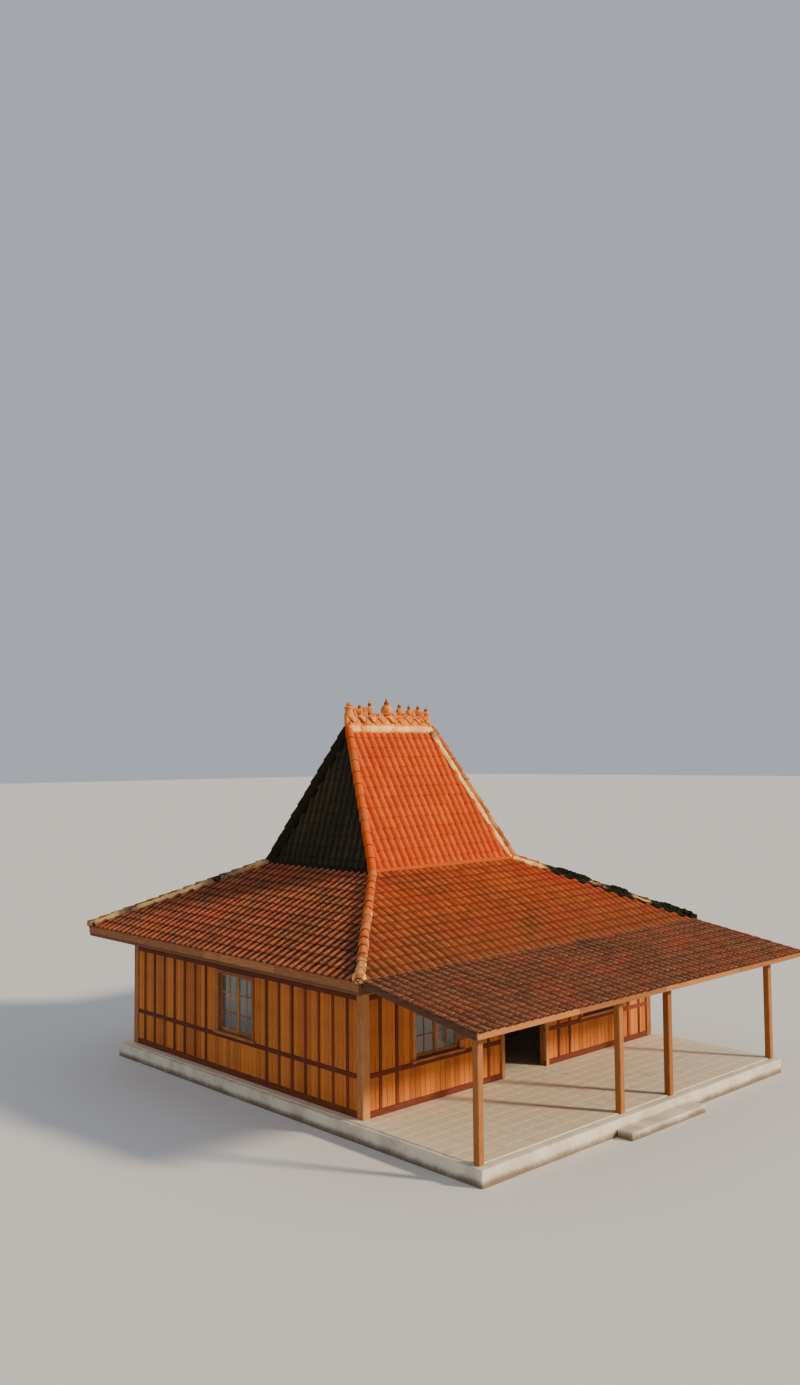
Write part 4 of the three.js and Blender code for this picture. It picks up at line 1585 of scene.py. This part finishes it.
# %% Ridge tiles
CREST_LEFT = -1.425
CREST_RIGHT = 1.270
CREST_UNITS = 9
CREST_BASE = 7.575
CREST_THICK = 0.10
CREST_BEVEL = 0.012
CREST_SLIP = 0.003
CREST_TURN = 0.012
CREST_SEED = 91
LEAF_HALF = [
    (0.000, 0.275), (0.016, 0.262), (0.040, 0.254), (0.062, 0.240), (0.060, 0.226),
    (0.082, 0.225), (0.104, 0.236), (0.122, 0.232), (0.130, 0.220), (0.148, 0.214),
    (0.148, 0.000),
]
LEAF_RISE = 1.06


def bevel(work, edges, width):
    bmesh.ops.bevel(work, geom=edges, offset=width, segments=1, profile=0.5, affect="EDGES")


def extruded(outline, thick, worn):
    """A plate with an outline in X and Z, centred on Y, with bevelled edges."""
    points = [(x, y, z) for y in (-thick / 2, thick / 2) for x, z in outline]
    mesh = new_mesh("plate", points, bar_faces(len(outline), 1))
    face_outwards(mesh)
    with edited(mesh) as work:
        rim = [e for e in work.edges if len({round(v.co.y, 5) for v in e.verts}) == 1]
        bevel(work, rim, worn)
    return mesh


crest_pitch = (CREST_RIGHT - CREST_LEFT) / CREST_UNITS
leaf_scale = crest_pitch / (2 * LEAF_HALF[-1][0])
leaf_right = [(x * leaf_scale, z * LEAF_RISE) for x, z in LEAF_HALF]
leaf_left = [(-x, z) for x, z in leaf_right[1:]]
leaf_outline = leaf_right[::-1] + leaf_left
ridge_tile = unit_object("ridge_tile", extruded(leaf_outline, CREST_THICK, CREST_BEVEL))
crest_row = laid(
    ridge_tile, CREST_UNITS, 1, (crest_pitch, 1.0), terracotta, CREST_SLIP, CREST_TURN, CREST_SEED
)
crest_row.transform(Matrix.Translation(((CREST_LEFT + CREST_RIGHT) / 2, 0, CREST_BASE)))
print("ridge tiles:", CREST_UNITS)

# %% [markdown]
# ## Vines in relief
#
# Each ridge tile has a short curved vine in relief on both faces, and some of the vines are
# coloured dark. A vine is a rod along one wave, sunk into the face by half of its depth. Its course
# is worked out at even steps, and the rod stands square to the slope at each.

# %% Vines
VINE_SPAN = 0.25
VINE_TOP = 7.79
VINE_DROP = 0.12
VINE_SWAY = 0.020
VINE_HALF = 0.030
VINE_STEPS = 10
VINE_BLUNT = 0.15  # how blunt its ends are, from 0 to 0.5
VINE_DARKNESS = [0.35, 1.0, 1.0, 0.25, 1.0, 0.1, 0.0, 0.0, 0.0]  # one for each tile, from the left


def vine(left, y, darkness):
    """A rod that sways down from left to right on one face of a ridge tile."""
    course = []
    for step in range(VINE_STEPS + 1):
        share = step / VINE_STEPS
        turn = 2 * math.pi * share
        z = VINE_TOP - VINE_DROP * share + VINE_SWAY * math.sin(turn)
        slope = (VINE_SWAY * 2 * math.pi * math.cos(turn) - VINE_DROP) / VINE_SPAN
        outwards = Vector((-slope, 0, 1)).normalized()
        swell = math.sin(math.pi * (VINE_BLUNT + (1 - 2 * VINE_BLUNT) * share))
        course.append((Vector((left + VINE_SPAN * share, y, z)), outwards, VINE_HALF * swell))
    mesh = rod(course)
    mark(mesh, "grime_and_shade", [darkness] * len(mesh.vertices))
    return mesh


vines = []
for number, darkness in enumerate(VINE_DARKNESS):
    left = CREST_LEFT + number * crest_pitch + (crest_pitch - VINE_SPAN) / 2
    vines += [vine(left, y, darkness) for y in (-CREST_THICK / 2, CREST_THICK / 2)]
crest = joined("crest", [crest_row] + finials + scrolls + vines)
put("crest", crest, terracotta, "terracotta", ["ridge_crest"])
print("vines:", len(vines))

# %% [markdown]
# ## Sticks of timber
#
# Posts, rails, frames and fascias are all squared timbers with slightly worn edges. One
# helper makes such a stick between two corners. Its UV map runs along its length, and
# it carries a random `tone`, so that no two neighbours match. Random numbers come from
# one seeded generator.

# %% Sticks
EDGE_FINE = 0.003  # how far edges are worn: glazing bars and floor tiles
EDGE_SAWN = 0.004  # casements and the boards along the eaves
EDGE_FRAME = 0.005  # frames and casings on the walls
EDGE_WORN = 0.008  # sills, jambs and corner boards
EDGE_POST = 0.014

pick = random.Random(7)
BOX_FACES = [(0, 3, 2, 1), (4, 5, 6, 7), (0, 1, 5, 4), (1, 2, 6, 5), (2, 3, 7, 6), (3, 0, 4, 7)]


def grain_map(mesh):
    """A UV map whose U runs along the mesh's longest side."""
    lows = [min(v.co[axis] for v in mesh.vertices) for axis in range(3)]
    highs = [max(v.co[axis] for v in mesh.vertices) for axis in range(3)]
    spans = [high - low for low, high in zip(lows, highs)]
    long_axis = spans.index(max(spans))
    first, second = [axis for axis in range(3) if axis != long_axis]
    layer = mesh.uv_layers.new(name="grain")
    for loop in mesh.loops:
        place = mesh.vertices[loop.vertex_index].co
        layer.data[loop.index].uv = (place[long_axis], place[first] + place[second])


def stick(low, high, worn):
    """A squared timber between two corners, with worn edges."""
    x0, y0, z0 = low
    x1, y1, z1 = high
    corners = [
        (x0, y0, z0), (x1, y0, z0), (x1, y1, z0), (x0, y1, z0),
        (x0, y0, z1), (x1, y0, z1), (x1, y1, z1), (x0, y1, z1),
    ]
    mesh = new_mesh("stick", corners, BOX_FACES)
    with edited(mesh) as work:
        bevel(work, work.edges[:], worn)
    grain_map(mesh)
    mark(mesh, "tone", [pick.random()] * len(mesh.vertices))
    return mesh


print("stick maker ready")

# %% [markdown]
# ## Posts and fascias
#
# The posts of the veranda and of the core are worn square timbers. The boards along the
# eaves are long, so each is made of four lengths that meet end to end with a hair of a
# gap. Both take the places of plain bars in the frame.

# %% Posts and fascias
FASCIA_LENGTHS = 4
FASCIA_GAP = 0.0015  # left free at each end of a length

posts = [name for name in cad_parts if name.startswith(("veranda_post", "core_post"))]
for node in sorted(posts):
    finish = fascia_teak if node.startswith("veranda") else joinery_teak
    low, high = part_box(node)
    put("timber_" + node, stick(low, high, EDGE_POST), finish, "teak", [node])


def fascia(node):
    """Lengths of board along the node's longer level side."""
    low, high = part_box(node)
    axis = 0 if high.x - low.x > high.y - low.y else 1
    span = (high[axis] - low[axis]) / FASCIA_LENGTHS
    pieces = []
    for index in range(FASCIA_LENGTHS):
        start = low.copy()
        end = high.copy()
        start[axis] = low[axis] + span * index + FASCIA_GAP
        end[axis] = low[axis] + span * (index + 1) - FASCIA_GAP
        pieces.append(stick(start, end, EDGE_SAWN))
    return pieces


for name, node, finish in (
    ("fascia_left", "eave_board_left", joinery_teak),
    ("fascia_right", "eave_board_right", joinery_teak),
    ("fascia_back", "eave_board_back", joinery_teak),
    ("fascia_veranda", "veranda_eave_board", fascia_teak),
):
    put(name, joined(name, fascia(node)), finish, "teak", [node])
print("posts:", len(posts), "fascias: 4")

# %% [markdown]
# ## Boards and frames on the walls
#
# The walls of a joglo are teak panels: upright boards held in a frame of stiles and
# rails. The layout of one wall is worked out in its own plane, as distances along the
# wall and heights, and then moved to its side of the house. The boards are rows again,
# and the frame is made of sticks. The openings keep their places in the CAD walls.

# %% Wall layout
FLOOR_Z = 0.30
WALL_TOP = 2.96
WALL_X = 4.45
WALL_Y = 4.00
WINDOW_HALF = 0.60
SILL = 1.15
HEAD = 2.35
DOOR_HALF = 0.65
DOOR_HEAD = 2.45
FRONT_WINDOW = 2.55
BOARD = 0.138
BOARD_THICK = 0.016
BOARD_CHAMFER = 0.006
BOARD_GAP = 0.0015  # left free at each side of a board
BOARD_SLIP = 0.0015


def board_unit(width, height):
    """One upright board, centred on X, from 0 to its height, with chamfered edges."""
    half = width / 2 - BOARD_GAP
    outline = [
        (-half, 0), (-half, -BOARD_THICK + BOARD_CHAMFER), (-half + BOARD_CHAMFER, -BOARD_THICK),
        (half - BOARD_CHAMFER, -BOARD_THICK), (half, -BOARD_THICK + BOARD_CHAMFER), (half, 0),
    ]
    points = [(x, y, z) for z in (0, height) for x, y in outline]
    mesh = new_mesh("board", points, bar_faces(len(outline), 1))
    grain_map(mesh)
    return unit_object("board", mesh)


def boarding(area, seed):
    """Upright boards that fill an area (x0, x1, z0, z1) of a wall's outer face."""
    x0, x1, z0, z1 = area
    count = max(1, round((x1 - x0) / BOARD))
    pitch = (x1 - x0) / count
    unit = board_unit(pitch, z1 - z0)
    row = laid(unit, count, 1, (pitch, 1.0), panel_teak, BOARD_SLIP, 0.0, seed)
    bpy.data.objects.remove(unit)
    row.transform(Matrix.Translation(((x0 + x1) / 2, 0, z0)))
    return row


def framing(bars, proud, worn):
    """Sticks on a wall's outer face from (x0, x1, z0, z1) areas."""
    return [stick((x0, -proud, z0), (x1, 0.0, z1), worn) for x0, x1, z0, z1 in bars]


print("wall layout ready")

# %% [markdown]
# ## Windows
#
# Each window hole gets a casing on the wall, a sill that throws rain clear, and two
# casements whose glazing bars divide the pane. The casements stand in the middle of the
# wall's thickness, where the CAD pane is.

# %% Window parts
CASING = 0.075
CASING_PROUD = 0.046
SILL_REACH = 0.11
SILL_PROUD = 0.085
SILL_DEPTH = 0.05
PANE_DEPTH = 0.060
CASEMENT = 0.050
CASEMENT_HALF = 0.022  # half of its thickness
CASEMENT_GAP = 0.002
BOTTOM_EXTRA = 0.02  # the bottom rail is taller than the others
GLAZING_BAR = 0.022
BAR_INSET = 0.008
BEAD = 0.026  # covers the joint between two casements
BEAD_PROUD = 0.010
WINDOW_ROWS = 3


def window_casing(x):
    left, right = x - WINDOW_HALF, x + WINDOW_HALF
    bars = [
        (left - CASING, left, SILL - CASING, HEAD + CASING),
        (right, right + CASING, SILL - CASING, HEAD + CASING),
        (left, right, HEAD, HEAD + CASING),
    ]
    low = (left - SILL_REACH, -SILL_PROUD, SILL - SILL_DEPTH)
    sill = stick(low, (right + SILL_REACH, 0.0, SILL), EDGE_WORN)
    return framing(bars, CASING_PROUD, EDGE_FRAME) + [sill]


def casements(x):
    """Two casements and their glazing bars, round the pane at PANE_DEPTH."""
    near = PANE_DEPTH - CASEMENT_HALF
    far = PANE_DEPTH + CASEMENT_HALF
    half_bar = GLAZING_BAR / 2
    parts = []
    for left, right in (
        (x - WINDOW_HALF, x - CASEMENT_GAP), (x + CASEMENT_GAP, x + WINDOW_HALF),
    ):
        inner_left, inner_right = left + CASEMENT, right - CASEMENT
        for a, b, c, d in (
            (left, inner_left, SILL, HEAD), (inner_right, right, SILL, HEAD),
            (inner_left, inner_right, SILL, SILL + CASEMENT + BOTTOM_EXTRA),
            (inner_left, inner_right, HEAD - CASEMENT, HEAD),
        ):
            parts.append(stick((a, near, c), (b, far, d), EDGE_SAWN))
        middle = (left + right) / 2
        levels = [SILL + (HEAD - SILL) * row / WINDOW_ROWS for row in range(1, WINDOW_ROWS)]
        bars = [(inner_left, inner_right, z - half_bar, z + half_bar) for z in levels]
        bars.append((middle - half_bar, middle + half_bar, SILL + CASEMENT, HEAD - CASEMENT))
        for a, b, c, d in bars:
            parts.append(stick((a, near + BAR_INSET, c), (b, far - BAR_INSET, d), EDGE_FINE))
    for front, behind in ((near - BEAD_PROUD, near), (far, far + BEAD_PROUD)):
        parts.append(stick((x - BEAD / 2, front, SILL), (x + BEAD / 2, behind, HEAD), EDGE_FINE))
    return parts


print("window parts ready")

# %% [markdown]
# ## Areas, rails and stiles
#
# A wall is first divided into areas without holes: full height beside a window or the
# doorway, and shorter over and under it. Boards fill each area. Rails run along the
# wall at the floor, the sill, the head and the top, and stiles stand between them about
# every 0.4 m.

# %% Dividing a wall
STILE = 0.07
STILE_GAP = 0.42
RAIL = 0.085
RAIL_LOW = (FLOOR_Z, 0.43)
RAIL_TOP = (2.85, WALL_TOP)
RAIL_SILL = (SILL - SILL_DEPTH - RAIL, SILL - SILL_DEPTH)
RAIL_HEAD = (HEAD + CASING, HEAD + CASING + RAIL)


def wall_areas(half, windows, door):
    """Areas (x0, x1, z0, z1) of a wall that have boards."""
    holes = [(x - WINDOW_HALF, x + WINDOW_HALF, SILL, HEAD) for x in windows]
    if door:
        holes.append((-DOOR_HALF, DOOR_HALF, FLOOR_Z, DOOR_HEAD))
    areas = []
    edge = -half
    for x0, x1, z0, z1 in sorted(holes):
        areas.append((edge, x0, FLOOR_Z, WALL_TOP))
        areas.append((x0, x1, z1, WALL_TOP))
        if z0 > FLOOR_Z:
            areas.append((x0, x1, FLOOR_Z, z0))
        edge = x1
    areas.append((edge, half, FLOOR_Z, WALL_TOP))
    return areas


def spread(start, end, gap):
    """Places between start and end, about a gap apart, without the ends."""
    count = max(1, round((end - start) / gap))
    return [start + (end - start) * i / count for i in range(1, count)]


def wall_bars(half, areas, door):
    """Rails along the wall, and stiles in its full-height areas."""
    whole = [(-half, half)]
    beside = [(-half, -DOOR_HALF), (DOOR_HALF, half)] if door else whole
    rails = ((RAIL_LOW, beside), (RAIL_SILL, beside), (RAIL_HEAD, whole), (RAIL_TOP, whole))
    bars = [(x0, x1, z0, z1) for (z0, z1), spans in rails for x0, x1 in spans]
    for x0, x1, z0, z1 in areas:
        if (z0, z1) != (FLOOR_Z, WALL_TOP):
            continue
        first = x0 if x0 == -half else x0 + CASING
        last = x1 if x1 == half else x1 - CASING
        for x in spread(first, last, STILE_GAP):
            bars.append((x - STILE / 2, x + STILE / 2, RAIL_LOW[1], RAIL_SILL[0]))
            bars.append((x - STILE / 2, x + STILE / 2, RAIL_SILL[1], RAIL_HEAD[0]))
    return bars


print("wall divider ready")

# %% [markdown]
# ## Four boarded walls
#
# The front wall has a doorway between two windows, and each other wall has one window.
# Dark red stiles between orange boards are what shows of this wall beside the doorway.
# Two boards clasp each corner of the room, where the walls' own boards end.

# %% Build the walls
FRAME_THICK = 0.034
JAMB = 0.10
JAMB_PROUD = 0.055
CORNER_PROUD = 0.045
CORNER_WIDTH = 0.13
BOARD_SEED = 101
SEED_STEP = 20


def wall_pieces(side, half, reach, windows, door, seed):
    """Dresses the outer face of one wall and counts its triangles."""
    areas = wall_areas(half, windows, door)
    boards = [boarding(area, seed + i) for i, area in enumerate(areas)]
    stiles = framing(wall_bars(half, areas, door), FRAME_THICK, EDGE_FRAME)
    casings = []
    glazing = []
    for x in windows:
        casings += window_casing(x)
        glazing += casements(x)
    if door:
        jambs = [
            (-DOOR_HALF - JAMB, -DOOR_HALF, FLOOR_Z, DOOR_HEAD + JAMB),
            (DOOR_HALF, DOOR_HALF + JAMB, FLOOR_Z, DOOR_HEAD + JAMB),
            (-DOOR_HALF, DOOR_HALF, DOOR_HEAD, DOOR_HEAD + JAMB),
        ]
        casings += framing(jambs, JAMB_PROUD, EDGE_WORN)
    outward, across = side_frame(side)
    turned = Matrix((across, -outward, Vector((0, 0, 1)))).transposed()
    place = Matrix.Translation(outward * reach) @ turned.to_4x4()
    total = 0
    for label, meshes, finish, slot in (
        ("boards_", boards, panel_teak, "boards"),
        ("frame_", stiles, red_teak, "boards"),
        ("casing_", casings + glazing, joinery_teak, "teak"),
    ):
        mesh = joined(label + side, meshes)
        mesh.transform(place)
        put(label + side, mesh, finish, slot)
        total += triangles(mesh)
    return total


wall_triangles = 0
for side, half, reach, windows, door in (
    ("front", WALL_X, WALL_Y, (-FRONT_WINDOW, FRONT_WINDOW), True),
    ("back", WALL_X, WALL_Y, (0.0,), False),
    ("left", WALL_Y, WALL_X, (0.0,), False),
    ("right", WALL_Y, WALL_X, (0.0,), False),
):
    seed = BOARD_SEED + SEED_STEP * len(side)
    wall_triangles += wall_pieces(side, half, reach, windows, door, seed)

corner_boards = []
for sx in (-1, 1):
    for sy in (-1, 1):
        wall_x, out_x, in_x = [sx * (WALL_X + d) for d in (0, CORNER_PROUD, -CORNER_WIDTH)]
        wall_y, out_y, in_y = [sy * (WALL_Y + d) for d in (0, CORNER_PROUD, -CORNER_WIDTH)]
        for x0, x1, y0, y1 in ((out_x, in_x, out_y, wall_y), (out_x, wall_x, wall_y, in_y)):
            low = (min(x0, x1), min(y0, y1), FLOOR_Z)
            high = (max(x0, x1), max(y0, y1), WALL_TOP)
            corner_boards.append(stick(low, high, EDGE_WORN))
put("corner_boards", joined("corner_boards", corner_boards), joinery_teak, "teak")
print("wall triangles:", wall_triangles)

# %% [markdown]
# ## The raised floor
#
# The floor stands on masonry whose edges are rounded and uneven. A block with rounded
# edges is made from a box of small cells: each point is pulled back to a fixed distance
# from an inner box, and then pushed by noise. The step in front is a second block.

# %% Rough blocks
BLOCK_CELL = 0.12
BLOCK_RADIUS = 0.030
BLOCK_LUMP = 0.006
BLOCK_ROUNDING = 0.4  # share of the radius at which the rounding is divided


def cell_places(low, high):
    """Where the cells of a block are divided: evenly, and closer at its rounded edges."""
    inside = high - low - 2 * BLOCK_RADIUS
    count = max(1, round(inside / BLOCK_CELL))
    inner = [low + BLOCK_RADIUS + inside * i / count for i in range(count + 1)]
    edge = BLOCK_RADIUS * BLOCK_ROUNDING
    return [low, low + edge] + inner + [high - edge, high]


def cell_box(work, low, high):
    """A box of small cells between two corners."""
    places = [cell_places(low[axis], high[axis]) for axis in range(3)]
    for axis in range(3):
        first, second = [other for other in range(3) if other != axis]
        for level in (low[axis], high[axis]):
            grid = []
            for a in places[first]:
                row = []
                for b in places[second]:
                    point = [0.0, 0.0, 0.0]
                    point[axis], point[first], point[second] = level, a, b
                    row.append(work.verts.new(point))
                grid.append(row)
            for near, far in zip(grid, grid[1:]):
                for j in range(len(near) - 1):
                    work.faces.new((near[j], far[j], far[j + 1], near[j + 1]))
    bmesh.ops.remove_doubles(work, verts=work.verts, dist=TOUCHING)
    bmesh.ops.recalc_face_normals(work, faces=work.faces)


def rough_block(low, high):
    """A block with rounded, uneven edges and a flat underside between two corners."""
    mesh = bpy.data.meshes.new("rough_block")
    with edited(mesh) as work:
        cell_box(work, low, high)
        for vertex in work.verts:
            inner = Vector([
                min(max(value, low[axis] + BLOCK_RADIUS), high[axis] - BLOCK_RADIUS)
                for axis, value in enumerate(vertex.co)
            ])
            away = vertex.co - inner
            if vertex.co.z < low[2] + BLOCK_RADIUS:
                away.z = 0
                inner.z = vertex.co.z
            if away.length > 0:
                bump = noise.noise(vertex.co * 4.0) + 0.5 * noise.noise(vertex.co * 11.0)
                reach = BLOCK_RADIUS - BLOCK_LUMP + BLOCK_LUMP * bump
                vertex.co = inner + away.normalized() * reach
    return mesh


for node in ("plinth", "front_step"):
    block = rough_block(*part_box(node))
    put("masonry_" + node, block, lime_render, "plaster", [node])
print("masonry blocks: 2")

# %% [markdown]
# ## Paving
#
# The floor is paved with square tiles from edge to edge of the plinth. They are rows
# once more: one tile with worn edges, laid by the same node tree as the roof.

# %% Floor tiles
FLOOR_TILE = 0.30
FLOOR_TILE_THICK = 0.010
FLOOR_TILE_SINK = 0.01
FLOOR_JOINT = 0.002  # half of the joint between two tiles
FLOOR_MARGIN = 0.16  # both edges of the plinth together
FLOOR_SLIP = 0.001
FLOOR_TURN = 0.002
FLOOR_SEED = 131

tile_half = FLOOR_TILE / 2 - FLOOR_JOINT
floor_low = (-tile_half, -tile_half, -FLOOR_TILE_SINK)
floor_high = (tile_half, tile_half, FLOOR_TILE_THICK)
floor_unit = unit_object("floor_tile", stick(floor_low, floor_high, EDGE_FINE))
low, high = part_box("plinth")
floor_columns = math.floor((high.x - low.x - FLOOR_MARGIN) / FLOOR_TILE)
floor_courses = math.floor((high.y - low.y - FLOOR_MARGIN) / FLOOR_TILE)
pitch = (FLOOR_TILE, FLOOR_TILE)
paving = laid(
    floor_unit, floor_columns, floor_courses, pitch, floor_tiles, FLOOR_SLIP, FLOOR_TURN, FLOOR_SEED
)
paving.transform(Matrix.Translation(((low.x + high.x) / 2, (low.y + high.y) / 2, high.z)))
put("floor_paving", paving, floor_tiles, "plaster")
print("floor tiles:", floor_columns * floor_courses)

# %% [markdown]
# ## Stage and light
#
# The stage is a wide pale floor. A low warm key light from the front right models the
# rolls of the tiles and leaves the left side in shade, and the pale sky fills that
# shade softly.

# %% Stage and light
STAGE_HALF = 300.0
KEY_AZIMUTH = math.radians(30)
KEY_HEIGHT = math.radians(24)

stage_maker = Finish("stage_floor", 0.9)
stage_tint = stage_maker.mix(stage_maker.noise(0.05, 2.0), (0.74, 0.73, 0.71), (0.76, 0.75, 0.73))
stage_corners = [(x * STAGE_HALF, y * STAGE_HALF, 0) for x, y in CORNERS]
stage_mesh = new_mesh("stage_floor", stage_corners, [(0, 1, 2, 3)])
stage_mesh.materials.append(stage_maker.finish(stage_tint))
floor = bpy.data.objects.new("stage_floor", stage_mesh)
bpy.context.scene.collection.objects.link(floor)

key_data = bpy.data.lights.new("key", "SUN")
key_data.energy = 4.6
key_data.color = (1.0, 0.83, 0.62)
key_data.angle = math.radians(6)
key = bpy.data.objects.new("key", key_data)
key_from = Vector((
    math.sin(KEY_AZIMUTH) * math.cos(KEY_HEIGHT),
    -math.cos(KEY_AZIMUTH) * math.cos(KEY_HEIGHT),
    math.sin(KEY_HEIGHT),
))
key.rotation_euler = key_from.to_track_quat("Z", "Y").to_euler()
bpy.context.scene.collection.objects.link(key)

world = bpy.data.worlds.new("pale_sky")
world.use_nodes = True
sky = world.node_tree.nodes["Background"]
sky.inputs["Color"].default_value = (0.80, 0.86, 0.95, 1)
sky.inputs["Strength"].default_value = 0.55
bpy.context.scene.world = world
print("key light from", tuple(round(v, 2) for v in key_from))

# %% [markdown]
# ## Finishes for the frame's own pieces
#
# The frame's solids that no piece replaces stay as they are, and each only needs its
# finish. The first start of a name that fits decides it.

# %% Dress the CAD nodes
NODE_FINISHES = [
    ("lower_rafters_left", beam_teak),
    ("lower_rafters_right", beam_teak),
    ("lower_rafters", rafter_teak),
    ("veranda_rafters", rafter_teak),
    ("veranda_beam", beam_teak),
    ("veranda_verge", verge_teak),
    ("core_ring", ring_teak),
    ("wall_ring", ring_teak),
    ("upper_roof", steep_underside),
    ("lower_roof", skirt_underside),
    ("veranda_roof", veranda_underside),
    ("front_wall", inner_boards),
    ("back_wall", inner_boards),
    ("left_wall", inner_boards),
    ("right_wall", inner_boards),
    ("front_window", window_glass),
    ("back_window", window_glass),
    ("left_window", window_glass),
    ("right_window", window_glass),
]
dressed = 0
for name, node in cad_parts.items():
    fitting = [finish for start, finish in NODE_FINISHES if name.startswith(start)]
    if fitting:
        node.data.materials.clear()
        node.data.materials.append(fitting[0])
        dressed += 1
print("CAD nodes with a finish:", dressed, "of", len(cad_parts))

# %% [markdown]
# ## Clear up
#
# The hidden unit objects have done their work and go.

# %% Clear up and finish
for unit in (pantile, cap_tile, moss_dome, moss_ground, ridge_tile, floor_unit):
    bpy.data.objects.remove(unit)
